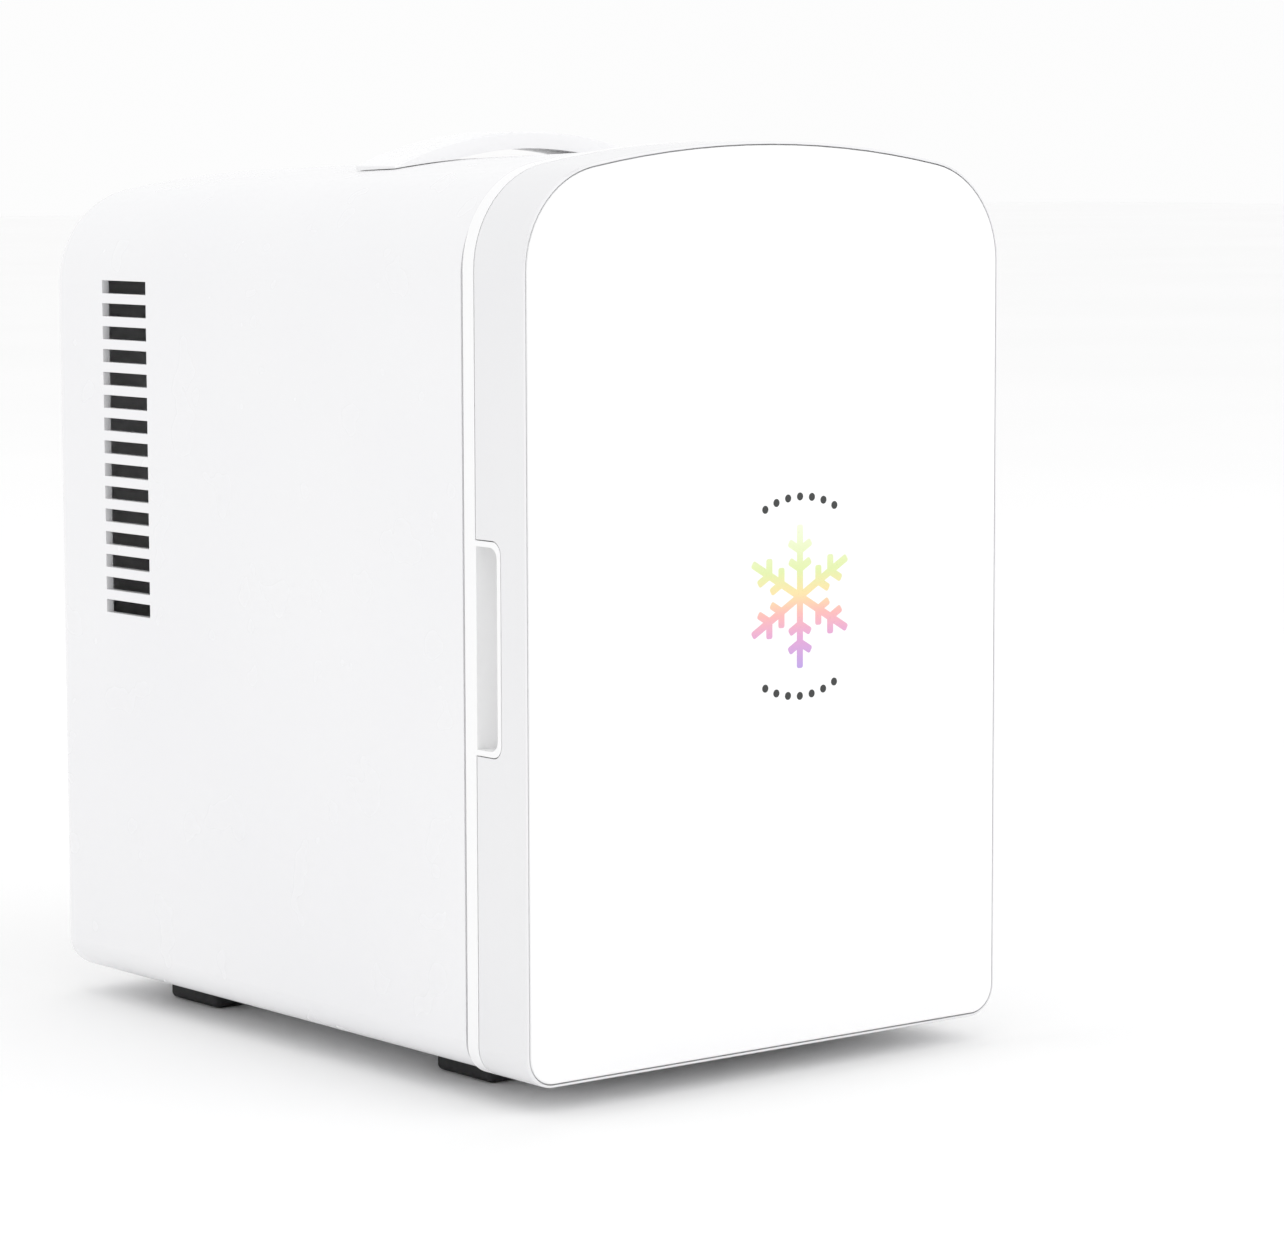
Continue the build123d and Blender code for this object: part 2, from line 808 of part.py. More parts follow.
with BuildPart() as cabinet_shell:
    add(cabinet_block(0, cab_front, rear, rear_edge))
    add(
        cabinet_block(shell_wall, cab_front, rear - rear_wall, rear_edge - shell_wall),
        mode=Mode.SUBTRACT,
    )
    # Opening in the rear, with a recessed ledge for the cover.
    for inset, cut in ((rear_cover_inset, cover_recess), (rear_opening_inset, rear_wall)):
        with BuildSketch(facing(rear)):
            add(arch(inset, rear_drop, cabinet_lift))
        extrude(amount=cut, mode=Mode.SUBTRACT)
    add(rods(rear - rear_wall, rear_screw_spots, rear_boss_radius, rear_boss_length))
    add(
        rods(
            recess_floor,
            rear_screw_spots,
            cover_screw["shank"] + hole_play,
            rear_boss_length + rear_wall,
        ),
        mode=Mode.SUBTRACT,
    )
    # Louvres in both sides.
    for side in (-1, 1):
        with BuildSketch(Plane.YZ.offset(side * width)):
            with Locations((rear - vent_from_rear - vent_length / 2, vent_mid)):
                with GridLocations(0, vent_pitch, 1, vent_count):
                    Rectangle(vent_length, vent_height)
        extrude(amount=-side * (width / 2 + 2 * shell_wall), mode=Mode.SUBTRACT)
    # Bosses for the feet's screws.
    with BuildSketch(Plane.XY.offset(cabinet_bottom + shell_wall / 2)):
        with Locations(*foot_spots):
            Circle(foot_boss_radius)
    extrude(amount=foot_boss - shell_wall / 2)
    with BuildSketch(Plane.XY.offset(cabinet_bottom)):
        with Locations(*foot_spots):
            Circle(foot_screw["shank"] + hole_play)
    extrude(amount=foot_boss, mode=Mode.SUBTRACT)
    # Slots for the handle's legs.
    with BuildSketch(Plane.XY.offset(handle_peak)):
        with Locations(*leg_spots):
            Rectangle(leg_thickness + 2 * leg_play, leg_width + 2 * leg_play)
    extrude(amount=foot_top - handle_peak, mode=Mode.SUBTRACT)
    add(hinge_room(cab_front), mode=Mode.SUBTRACT)

with BuildPart() as front_frame:
    with BuildSketch(facing(face_back)):
        add(arch(shell_wall + fit_gap, drop_at(face_back), cabinet_lift))
    extrude(amount=face_thickness)
    add(
        block(cavity_width, cavity_bottom, cavity_top, cab_front, face_back, cavity_corner),
        mode=Mode.SUBTRACT,
    )
    with BuildSketch(facing(cab_front)):
        with Locations(*magnet_spots):
            Rectangle(magnet_size[0], magnet_size[2])
    extrude(amount=-striker_thickness, mode=Mode.SUBTRACT)
    add(hinge_room(cab_front), mode=Mode.SUBTRACT)
    add(
        rods(cab_front, leaf_screw_spots, leaf_screw["shank"] + hole_play, -leaf_screw_depth),
        mode=Mode.SUBTRACT,
    )

with BuildPart() as striker_plates:
    with BuildSketch(facing(cab_front + striker_thickness)):
        with Locations(*magnet_spots):
            Rectangle(magnet_size[0] - 2 * fit_gap, magnet_size[2] - 2 * fit_gap)
    extrude(amount=striker_thickness)

cabinet_hinge_leaves = hinge_leaves(
    cab_front,
    -1,
    [(-hinge_half, -hinge_half + knuckle_end), (hinge_half - knuckle_end, hinge_half)],
)
cabinet_hinge_screws = screws(
    cab_front + leaf_screw["rise"], leaf_screw_spots, 1, leaf_screw, leaf_screw_length
)

with BuildPart() as hinge_pins:
    for height in hinge_heights:
        with BuildSketch(Plane.XY.offset(height - hinge_half)):
            with Locations((hinge_x, hinge_y)):
                Circle(pin_radius)
        extrude(amount=2 * hinge_half)
        with BuildSketch(Plane.XY.offset(height + hinge_half)):
            with Locations((hinge_x, hinge_y)):
                Circle(pin_head_radius)
        extrude(amount=pin_head)

with BuildPart() as inner_liner:
    add(
        block(
            cavity_width + 2 * (liner_wall + tub_flange),
            cavity_bottom - liner_wall - tub_flange,
            cavity_top + liner_wall + tub_flange,
            face_back,
            face_back + liner_wall,
            cavity_corner + tub_flange,
        )
    )
    add(
        block(
            cavity_width + 2 * liner_wall,
            cavity_bottom - liner_wall,
            cavity_top + liner_wall,
            face_back,
            cavity_rear + liner_wall,
            cavity_corner + liner_wall,
            cavity_rear_edge + liner_wall,
        )
    )
    add(
        block(
            cavity_width,
            cavity_bottom,
            cavity_top,
            face_back,
            cavity_rear,
            cavity_corner,
            cavity_rear_edge,
        ),
        mode=Mode.SUBTRACT,
    )
    # Rails for the shelf, at two heights on each side.
    for side in (-1, 1):
        for height in rail_heights:
            add(
                block(
                    2 * rail_size[0],
                    height - rail_size[2],
                    height,
                    shelf_front,
                    shelf_front + rail_size[1],
                    x=side * cavity_width / 2,
                )
            )
    add(
        block(
            cavity_width + 4 * liner_wall + 4 * tub_flange,
            cavity_bottom,
            cavity_top,
            shelf_front,
            shelf_front + rail_size[1],
        )
        - block(
            cavity_width + 2 * liner_wall,
            cavity_bottom,
            cavity_top,
            shelf_front,
            shelf_front + rail_size[1],
        ),
        mode=Mode.SUBTRACT,
    )
    # Window for the spacer block, and the screw holes.
    add(
        block(
            module_size + 2 * module_play,
            module_height - module_size / 2 - module_play,
            module_height + module_size / 2 + module_play,
            cavity_rear,
            cavity_rear + liner_wall,
        ),
        mode=Mode.SUBTRACT,
    )
    add(
        rods(cavity_rear, clamp_spots, clamp_screw["shank"] + clamp_play, -liner_wall),
        mode=Mode.SUBTRACT,
    )
    add(
        rods(cavity_rear, cover_tab_spots, small_screw["shank"] + hole_play, -liner_wall),
        mode=Mode.SUBTRACT,
    )

with BuildPart() as cabinet_insulation:
    add(cabinet_block(shell_wall + foam_gap, foam_front, bulkhead_front))
    add(
        block(
            cavity_width + 2 * (liner_wall + foam_gap),
            cavity_bottom - liner_wall - foam_gap,
            cavity_top + liner_wall + foam_gap,
            foam_front,
            cavity_rear + liner_wall + foam_gap,
            cavity_corner + liner_wall,
        ),
        mode=Mode.SUBTRACT,
    )
    add(
        block(
            module_size + 2 * module_play,
            module_height - module_size / 2 - module_play,
            module_height + module_size / 2 + module_play,
            cavity_rear,
            bulkhead_front,
        ),
        mode=Mode.SUBTRACT,
    )
    add(
        rods(cavity_rear, clamp_spots, clamp_screw["shank"] + clamp_play, -spacer_length - 2),
        mode=Mode.SUBTRACT,
    )
    add(
        rods(cavity_rear, cover_tab_spots, small_screw["shank"] + clamp_play, -tab_screw_length),
        mode=Mode.SUBTRACT,
    )
    # Pockets for the handle's guides and the front feet's bosses.
    with BuildSketch(Plane.XY.offset(guide_bottom - foam_gap)):
        with Locations(*leg_spots):
            Rectangle(guide_size[0] + 2 * foam_gap, guide_size[1] + 2 * foam_gap)
    extrude(amount=handle_peak - guide_bottom, mode=Mode.SUBTRACT)
    with BuildSketch(Plane.XY.offset(cabinet_bottom)):
        with Locations(*foot_spots):
            Circle(foot_boss_radius + foam_gap)
    extrude(amount=foot_boss + foam_gap, mode=Mode.SUBTRACT)

with BuildPart() as shelf:
    add(
        block(
            cavity_width - 2 * shelf_play,
            shelf_height,
            shelf_height + shelf_thickness,
            shelf_front,
            shelf_front + shelf_depth,
        )
    )
    with BuildSketch(Plane.XY.offset(shelf_height)):
        with Locations((0, shelf_front + shelf_depth / 2)):
            with GridLocations(shelf_slot_pitch, 0, shelf_slot_count, 1):
                SlotOverall(shelf_depth - shelf_slot_margin, shelf_slot_width, rotation=90)
    extrude(amount=shelf_thickness, mode=Mode.SUBTRACT)
    add(
        block(
            cavity_width - 2 * shelf_play,
            shelf_height,
            shelf_height + shelf_lip,
            shelf_front,
            shelf_front + shelf_thickness,
        )
    )

with BuildPart() as handle_guides:
    with BuildSketch(Plane.XY.offset(guide_bottom)):
        with Locations(*leg_spots):
            Rectangle(*guide_size)
    extrude(amount=handle_peak - guide_bottom)
    with BuildSketch(Plane.XY.offset(guide_bottom + guide_wall)):
        with Locations(*leg_spots):
            Rectangle(leg_foot[0] + 2 * leg_play, leg_width + 2 * leg_play)
    extrude(amount=handle_peak - guide_bottom, mode=Mode.SUBTRACT)
    add(
        cabinet_block(
            shell_wall + fit_gap,
            handle_y - guide_size[1],
            handle_y + guide_size[1],
        ),
        mode=Mode.INTERSECT,
    )

with BuildPart() as carry_handle:
    with BuildSketch(facing(handle_y + handle_width / 2)):
        with Locations((0, handle_peak - handle_radius)):
            Circle(handle_radius)
            Circle(handle_radius - handle_thickness, mode=Mode.SUBTRACT)
        with Locations((0, handle_peak)):
            Rectangle(2 * handle_half_span, handle_radius / 2, mode=Mode.INTERSECT)
    extrude(amount=handle_width)
    add(
        cabinet_block(-handle_gap, handle_y - handle_width, handle_y + handle_width),
        mode=Mode.SUBTRACT,
    )
    fillet(
        carry_handle.faces().filter_by(GeomType.CYLINDER).sort_by(Axis.Z)[-1].edges(),
        handle_edge,
    )
    with BuildSketch(Plane.XY.offset(foot_top)):
        with Locations(*leg_spots):
            Rectangle(leg_thickness, leg_width)
    extrude(amount=leg_top - foot_top)
    with BuildSketch(Plane.XY.offset(foot_top - leg_foot[1])):
        with Locations(*leg_spots):
            Rectangle(leg_foot[0], leg_width)
    extrude(amount=leg_foot[1])

# Cooling stack, front to back

with BuildPart() as cold_heatsink:
    with BuildSketch(facing(cavity_rear, module_height)):
        Rectangle(cold_base[0], cold_base[1])
        with Locations(*grid(*clamp_spread)):
            Circle(clamp_screw["shank"] + hole_play, mode=Mode.SUBTRACT)
    extrude(amount=cold_base[2])
    with BuildSketch(facing(cold_base_front, module_height)):
        with GridLocations(cold_fin_pitch, 0, cold_fin_count, 1):
            Rectangle(cold_fin[0], cold_base[1])
    extrude(amount=cold_fin[1])

with BuildPart() as clamp_washers:
    with BuildSketch(facing(cold_base_front)):
        with Locations(*clamp_spots):
            Circle(washer_radius)
            Circle(clamp_screw["shank"] + hole_play, mode=Mode.SUBTRACT)
    extrude(amount=washer_thickness)

clamp_screws = screws(
    cold_base_front - washer_thickness,
    clamp_spots,
    1,
    clamp_screw,
    module_rear + hot_base[2] - 1 - cold_base_front + washer_thickness,
)

with BuildPart() as spacer_block:
    with BuildSketch(facing(spacer_rear, module_height)):
        Rectangle(module_size, module_size)
    extrude(amount=spacer_length)

with BuildPart() as thermoelectric_module:
    with BuildSketch(facing(module_rear, module_height)):
        Rectangle(module_size, module_size)
    extrude(amount=module_thickness)

with BuildPart() as module_seal:
    with BuildSketch(facing(bulkhead_rear, module_height)):
        Rectangle(bulkhead_window - foam_gap, bulkhead_window - foam_gap)
        Rectangle(module_size + foam_gap, module_size + foam_gap, mode=Mode.SUBTRACT)
    extrude(amount=bulkhead_thickness)

with BuildPart() as rear_bulkhead:
    with BuildSketch(facing(bulkhead_rear)):
        add(arch(shell_wall + foam_gap, drop_at(bulkhead_rear), cabinet_lift))
    extrude(amount=bulkhead_thickness)
    with BuildSketch(facing(bulkhead_rear, module_height)):
        Rectangle(bulkhead_window, bulkhead_window)
    extrude(amount=bulkhead_thickness, mode=Mode.SUBTRACT)
    add(rods(bulkhead_front, board_spots, board_boss_radius, -bulkhead_thickness - board_standoff))
    add(
        rods(
            board_front,
            board_spots,
            small_screw["shank"] + hole_play,
            board_standoff + bulkhead_thickness / 2,
        ),
        mode=Mode.SUBTRACT,
    )
    add(
        rods(bulkhead_front, clamp_spots, clamp_screw["shank"] + clamp_play, -bulkhead_thickness),
        mode=Mode.SUBTRACT,
    )

with BuildPart() as hot_heatsink:
    with BuildSketch(facing(hot_base_rear, module_height)):
        Rectangle(hot_base[0], hot_base[1])
        with Locations(*grid(*clamp_spread)):
            Circle(clamp_screw["shank"] + hole_play, mode=Mode.SUBTRACT)
    extrude(amount=hot_base[2])
    with BuildSketch(facing(hot_base_rear + hot_fin[1], module_height)):
        with GridLocations(0, hot_fin_pitch, 1, hot_fin_count):
            Rectangle(hot_base[0], hot_fin[0])
    extrude(amount=hot_fin[1])

# Fans

cold_fan_frame = fan_frame(cold_fan, facing(cold_fan_rear, module_height))
cold_fan_rotor = fan_rotor(cold_fan, facing(cold_fan_rear, module_height))
cold_fan_screws = screws(
    cover_front,
    grid(cold_fan["spread"], cold_fan["spread"], 0, module_height),
    1,
    cold_fan_screw,
    cover_wall + cold_fan["thick"] - 1,
)
hot_fan_frame = fan_frame(hot_fan, behind(hot_fan_front, module_height))
hot_fan_rotor = fan_rotor(hot_fan, behind(hot_fan_front, module_height))
hot_fan_screws = screws(hot_fan_front, hot_fan_spots, 1, hot_fan_screw, hot_fan["thick"] + 8)

with BuildPart() as cold_air_cover:
    add(
        block(
            cover_size[0],
            module_height - cover_size[1] / 2,
            module_height + cover_size[1] / 2,
            cover_front,
            cavity_rear,
            cover_corner,
        )
    )
    fillet(cold_air_cover.faces().sort_by(Axis.Y)[0].edges(), cover_edge)
    add(
        block(
            cover_tab_spread[0] + cover_tab,
            module_height - cover_tab_spread[1] / 2 - cover_tab / 2,
            module_height + cover_tab_spread[1] / 2 + cover_tab / 2,
            cavity_rear - cover_wall,
            cavity_rear,
            cover_corner,
        )
    )
    add(
        block(
            cover_size[0] - 2 * cover_wall,
            module_height - cover_size[1] / 2 + cover_wall,
            module_height + cover_size[1] / 2 - cover_wall,
            cover_front + cover_wall,
            cavity_rear,
            cover_corner - cover_wall,
        ),
        mode=Mode.SUBTRACT,
    )
    add(
        rods(cavity_rear, cover_tab_spots, small_screw["shank"] + hole_play, cover_wall),
        mode=Mode.SUBTRACT,
    )
    add(
        rods(
            cover_front + cover_wall,
            grid(cold_fan["spread"], cold_fan["spread"], 0, module_height),
            cold_fan_screw["shank"] + hole_play,
            cover_wall,
        ),
        mode=Mode.SUBTRACT,
    )
    # Intake slots in front of the fan, and outlet slots above and below the fins.
    with BuildSketch(facing(cover_front + cover_wall, module_height)):
        for row in range(-3, 4):
            with Locations((0, row * grille_pitch)):
                SlotOverall(
                    2 * sqrt((cold_fan["bore"] - 1) ** 2 - (row * grille_pitch) ** 2),
                    grille_slot,
                )
    extrude(amount=cover_wall, mode=Mode.SUBTRACT)
    with BuildSketch(Plane.XY.offset(module_height - cover_size[1])):
        with Locations((0, cold_base_front - cold_fin[1] / 2)):
            with GridLocations(grille_pitch * 1.5, 0, 7, 1):
                SlotOverall(cold_fin[1] - 1, grille_slot, rotation=90)
    extrude(amount=2 * cover_size[1], mode=Mode.SUBTRACT)

cold_cover_screws = screws(
    cavity_rear - cover_wall, cover_tab_spots, 1, small_screw, cover_wall + tab_screw_length - 1
)

# Rear cover and electrics

with BuildPart() as rear_cover:
    with BuildSketch(facing(cover_outer)):
        add(arch(rear_cover_inset + panel_gap, rear_drop, cabinet_lift))
    extrude(amount=rear_cover_thickness)
    # Pocket for the sockets.
    add(
        block(
            socket_pocket[0] + 2 * rear_cover_thickness,
            socket_height - socket_pocket[1] / 2 - rear_cover_thickness,
            socket_height + socket_pocket[1] / 2 + rear_cover_thickness,
            pocket_inner,
            cover_outer,
            pocket_corner + rear_cover_thickness,
        )
    )
    add(
        block(
            socket_pocket[0],
            socket_height - socket_pocket[1] / 2,
            socket_height + socket_pocket[1] / 2,
            pocket_floor,
            cover_outer,
            pocket_corner,
        ),
        mode=Mode.SUBTRACT,
    )
    with BuildSketch(facing(pocket_floor)):
        with Locations((-socket_spacing, socket_height)):
            Rectangle(ac_body[0] + 2 * panel_gap, ac_body[1] + 2 * panel_gap)
        with Locations((socket_spacing, socket_height)):
            Circle(dc_radius + panel_gap)
        with Locations((0, socket_height)):
            Rectangle(switch_body[0] + 2 * panel_gap, switch_body[1] + 2 * panel_gap)
        with Locations((led_offset, socket_height)):
            Circle(led_radius + hole_play)
    extrude(amount=rear_cover_thickness, mode=Mode.SUBTRACT)
    # Bosses for the hot fan.
    add(rods(hot_fan_rear + 0.01, hot_fan_spots, fan_boss_radius, hot_fan_rear - recess_floor))
    add(
        rods(
            hot_fan_rear,
            hot_fan_spots,
            hot_fan_screw["shank"] + hole_play,
            hot_fan_rear - recess_floor + rear_cover_thickness / 2,
        ),
        mode=Mode.SUBTRACT,
    )
    # Intake slots behind the hot fan.
    with BuildSketch(facing(cover_outer, module_height)):
        for row in range(-5, 6):
            with Locations((0, row * vent_pitch)):
                SlotOverall(
                    2 * sqrt((hot_fan["bore"] - 1) ** 2 - (row * vent_pitch) ** 2),
                    vent_height,
                )
    extrude(amount=rear_cover_thickness, mode=Mode.SUBTRACT)
    # Counterbored screw holes.
    add(rods(cover_outer, rear_screw_spots, cover_screw["head"] + fit_gap, 1), mode=Mode.SUBTRACT)
    add(
        rods(
            cover_outer,
            rear_screw_spots,
            cover_screw["shank"] + hole_play,
            rear_cover_thickness,
        ),
        mode=Mode.SUBTRACT,
    )

rear_cover_screws = screws(cover_outer - 1, rear_screw_spots, -1, cover_screw, rear_boss_length + 1)

with BuildPart() as ac_inlet:
    with BuildSketch(facing(socket_face, socket_height)):
        with Locations((-socket_spacing, 0)):
            RectangleRounded(*ac_flange, socket_flange)
    extrude(amount=socket_flange)
    with BuildSketch(facing(pocket_floor, socket_height)):
        with Locations((-socket_spacing, 0)):
            Rectangle(ac_body[0], ac_body[1])
    extrude(amount=ac_body[2])
    with BuildSketch(facing(socket_face, socket_height)):
        with Locations((-socket_spacing, 0)):
            SlotOverall(4 * ac_lobe, 2 * ac_lobe)
    extrude(amount=socket_depth, mode=Mode.SUBTRACT)
    with BuildSketch(facing(socket_face - socket_pin_setback, socket_height)):
        with Locations((-socket_spacing - ac_lobe, 0), (-socket_spacing + ac_lobe, 0)):
            Circle(socket_pin)
    extrude(amount=socket_depth - socket_pin_setback)

with BuildPart() as dc_socket:
    with BuildSketch(facing(socket_face, socket_height)):
        with Locations((socket_spacing, 0)):
            Circle(dc_flange_radius)
    extrude(amount=socket_flange)
    with BuildSketch(facing(pocket_floor, socket_height)):
        with Locations((socket_spacing, 0)):
            Circle(dc_radius)
    extrude(amount=ac_body[2])
    with BuildSketch(facing(socket_face, socket_height)):
        with Locations((socket_spacing, 0)):
            Circle(dc_bore)
    extrude(amount=socket_depth, mode=Mode.SUBTRACT)
    with BuildSketch(facing(socket_face - socket_pin_setback, socket_height)):
        with Locations((socket_spacing, 0)):
            Circle(socket_pin)
    extrude(amount=socket_depth - socket_pin_setback)

with BuildPart() as switch_housing:
    with BuildSketch(facing(socket_face, socket_height)):
        RectangleRounded(*switch_flange, socket_flange)
    extrude(amount=socket_flange)
    with BuildSketch(facing(pocket_floor, socket_height)):
        Rectangle(switch_body[0], switch_body[1])
    extrude(amount=switch_body[2])
    with BuildSketch(Plane.XY.offset(socket_height - rocker_width / 2 - rocker_play)):
        with Locations((0, rocker_y)):
            Circle(rocker_radius + rocker_play)
    extrude(amount=rocker_width + 2 * rocker_play, mode=Mode.SUBTRACT)
    with BuildSketch(Plane.XY.offset(socket_height - rocker_width / 2 - 1)):
        with Locations((0, rocker_y)):
            Circle(rocker_pin)
    extrude(amount=rocker_width + 2)

with BuildPart() as mode_switch:
    with BuildSketch(Plane.XY.offset(socket_height - rocker_width / 2)):
        with Locations((0, rocker_y)):
            Circle(rocker_radius)
            Circle(rocker_pin + pin_play, mode=Mode.SUBTRACT)
        with Locations((0, rocker_y + rocker_reach)):
            Rectangle(
                2 * rocker_radius,
                rocker_radius,
                align=(Align.CENTER, Align.MIN),
                mode=Mode.SUBTRACT,
            )
        # The two shallow facets that a finger presses.
        with BuildLine():
            Polyline(
                (-rocker_facet, rocker_y + rocker_reach),
                (0, rocker_y + rocker_reach - rocker_dip),
                (rocker_facet, rocker_y + rocker_reach),
                close=True,
            )
        make_face(mode=Mode.SUBTRACT)
    extrude(amount=rocker_width)

with BuildPart() as indicator_led:
    with BuildSketch(facing(pocket_floor + led_proud, socket_height)):
        with Locations((led_offset, 0)):
            Circle(led_radius)
    extrude(amount=led_length)
    fillet(indicator_led.faces().sort_by(Axis.Y)[-1].edges(), led_radius * 0.8)
    with BuildSketch(facing(pocket_inner, socket_height)):
        with Locations((led_offset, 0)):
            Circle(led_radius + 0.5)
    extrude(amount=1)

with BuildPart() as power_board:
    with BuildSketch(facing(board_back, board_height)):
        RectangleRounded(board_size[0], board_size[1], socket_flange)
        with Locations(*grid(*board_hole_spread)):
            Circle(small_screw["shank"] + hole_play, mode=Mode.SUBTRACT)
    extrude(amount=board_size[2])

board_screws = screws(board_back, board_spots, -1, small_screw, board_size[2] + board_standoff - 0.5)

with BuildPart() as transformer:
    with BuildSketch(facing(board_back + transformer_size[2], board_height)):
        with Locations((transformer_x, 0)):
            Rectangle(transformer_size[0], transformer_size[1])
    extrude(amount=transformer_size[2])
    with BuildSketch(facing(board_back + transformer_size[2] - 3, board_height)):
        with Locations((transformer_x, 0)):
            Rectangle(transformer_size[0] - 8, transformer_size[1] + 6)
    extrude(amount=transformer_size[2] - 6)

with BuildPart() as board_capacitors:
    for x, z, radius, length in capacitors:
        with BuildSketch(facing(board_back + length, board_height)):
            with Locations((x, z)):
                Circle(radius)
        extrude(amount=length)

with BuildPart() as board_heat_tab:
    with BuildSketch(facing(board_back + heat_tab[2], board_height)):
        with Locations((heat_tab_x, 0)):
            Rectangle(heat_tab[0], heat_tab[1])
    extrude(amount=heat_tab[2])
    with BuildSketch(facing(board_back + heat_tab[2], board_height)):
        with Locations((heat_tab_x + heat_tab[0] / 2, 0)):
            with GridLocations(0, heat_tab[1] / 4, 1, 4):
                Rectangle(8, heat_tab[0], align=(Align.MIN, Align.CENTER))
    extrude(amount=heat_tab[2] - 2)

# Feet

with BuildPart() as feet:
    with BuildSketch(Plane.XY):
        with Locations(*foot_spots):
            RectangleRounded(*foot_size, foot_edge)
    extrude(amount=cabinet_bottom)
    fillet(feet.faces().group_by(Axis.Z)[0].edges(), foot_edge - 0.2)
    with BuildSketch(Plane.XY):
        with Locations(*foot_spots):
            Circle(foot_screw["head"] + panel_gap)
    extrude(amount=foot_counterbore, mode=Mode.SUBTRACT)
    with BuildSketch(Plane.XY):
        with Locations(*foot_spots):
            Circle(foot_screw["shank"] + hole_play)
    extrude(amount=cabinet_bottom, mode=Mode.SUBTRACT)

with BuildPart() as foot_screws:
    with BuildSketch(Plane.XY.offset(foot_counterbore)):
        with Locations(*foot_spots):
            Circle(foot_screw["head"])
    extrude(amount=-foot_screw["rise"])
    with BuildSketch(Plane.XY.offset(foot_counterbore)):
        with Locations(*foot_spots):
            Circle(foot_screw["shank"])
    extrude(amount=cabinet_bottom - foot_counterbore + foot_boss - 1)
    with BuildSketch(Plane.XY.offset(foot_counterbore - foot_screw["rise"])):
        with Locations(*foot_spots):
            Rectangle(foot_screw["head"] * 1.2, foot_screw["head"] * 0.25)
            Rectangle(foot_screw["head"] * 0.25, foot_screw["head"] * 1.2)
    extrude(amount=foot_screw["rise"] / 2, mode=Mode.SUBTRACT)

nodes = {
    "front_panel": front_panel,
    "door_shell": door_shell,
    "door_frame": door_frame,
    "door_insulation": door_insulation,
    "door_liner": door_liner,
    "door_liner_screws": door_liner_screws,
    "door_gasket": door_gasket,
    "door_magnets": door_magnets,
    "door_hinge_leaves": door_hinge_leaves,
    "door_hinge_screws": door_hinge_screws,
    "door_bin": door_bin,
    "cabinet_shell": cabinet_shell,
    "front_frame": front_frame,
    "striker_plates": striker_plates,
    "cabinet_hinge_leaves": cabinet_hinge_leaves,
    "cabinet_hinge_screws": cabinet_hinge_screws,
    "hinge_pins": hinge_pins,
    "inner_liner": inner_liner,
    "cabinet_insulation": cabinet_insulation,
    "shelf": shelf,
    "handle_guides": handle_guides,
    "carry_handle": carry_handle,
    "cold_heatsink": cold_heatsink,
    "clamp_washers": clamp_washers,
    "clamp_screws": clamp_screws,
    "spacer_block": spacer_block,
    "thermoelectric_module": thermoelectric_module,
    "module_seal": module_seal,
    "rear_bulkhead": rear_bulkhead,
    "hot_heatsink": hot_heatsink,
    "cold_fan_frame": cold_fan_frame,
    "cold_fan_rotor": cold_fan_rotor,
    "cold_fan_screws": cold_fan_screws,
    "hot_fan_frame": hot_fan_frame,
    "hot_fan_rotor": hot_fan_rotor,
    "hot_fan_screws": hot_fan_screws,
    "cold_air_cover": cold_air_cover,
    "cold_cover_screws": cold_cover_screws,
    "rear_cover": rear_cover,
    "rear_cover_screws": rear_cover_screws,
    "ac_inlet": ac_inlet,
    "dc_socket": dc_socket,
    "switch_housing": switch_housing,
    "mode_switch": mode_switch,
    "indicator_led": indicator_led,
    "power_board": power_board,
    "board_screws": board_screws,
    "transformer": transformer,
    "board_capacitors": board_capacitors,
    "board_heat_tab": board_heat_tab,
    "feet": feet,
    "foot_screws": foot_screws,
}
for name, made in nodes.items():
    made.part.label = name
    export_step(made.part, f"parts/{name}.step")
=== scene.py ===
import json
import math

import bmesh
import bpy
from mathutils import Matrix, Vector


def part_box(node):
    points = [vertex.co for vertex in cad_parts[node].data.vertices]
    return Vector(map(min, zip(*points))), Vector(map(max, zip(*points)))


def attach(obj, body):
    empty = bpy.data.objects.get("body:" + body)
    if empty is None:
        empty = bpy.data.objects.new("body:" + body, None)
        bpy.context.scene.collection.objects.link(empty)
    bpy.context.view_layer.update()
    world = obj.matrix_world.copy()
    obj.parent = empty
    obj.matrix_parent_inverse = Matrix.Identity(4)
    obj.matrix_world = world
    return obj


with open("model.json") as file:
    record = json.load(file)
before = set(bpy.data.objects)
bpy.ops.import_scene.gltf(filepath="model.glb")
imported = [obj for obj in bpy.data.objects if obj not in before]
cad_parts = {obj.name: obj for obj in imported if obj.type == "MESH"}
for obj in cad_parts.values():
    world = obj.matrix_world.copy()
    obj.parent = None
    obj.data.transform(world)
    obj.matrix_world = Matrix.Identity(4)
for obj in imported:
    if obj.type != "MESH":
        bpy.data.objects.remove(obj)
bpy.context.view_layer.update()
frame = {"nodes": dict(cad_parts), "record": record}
nodes = frame["nodes"]
scene = bpy.context.scene
mm = 0.001
print("frame loaded")


def linearColour(hexText):
    parts = [int(hexText[i:i + 2], 16) / 255 for i in (1, 3, 5)]
    return (*[c / 12.92 if c <= 0.04045 else ((c + 0.055) / 1.055) ** 2.4 for c in parts], 1.0)


def addNode(tree, kind, settings=None, links=None):
    # settings are the node's own fields or its inputs' values, links are the sockets to plug in
    node = tree.nodes.new(kind)
    for key, value in (settings or {}).items():
        if isinstance(key, str) and hasattr(node, key):
            setattr(node, key, value)
        else:
            node.inputs[key].default_value = value
    for key, socket in (links or {}).items():
        tree.links.new(socket, node.inputs[key])
    return node


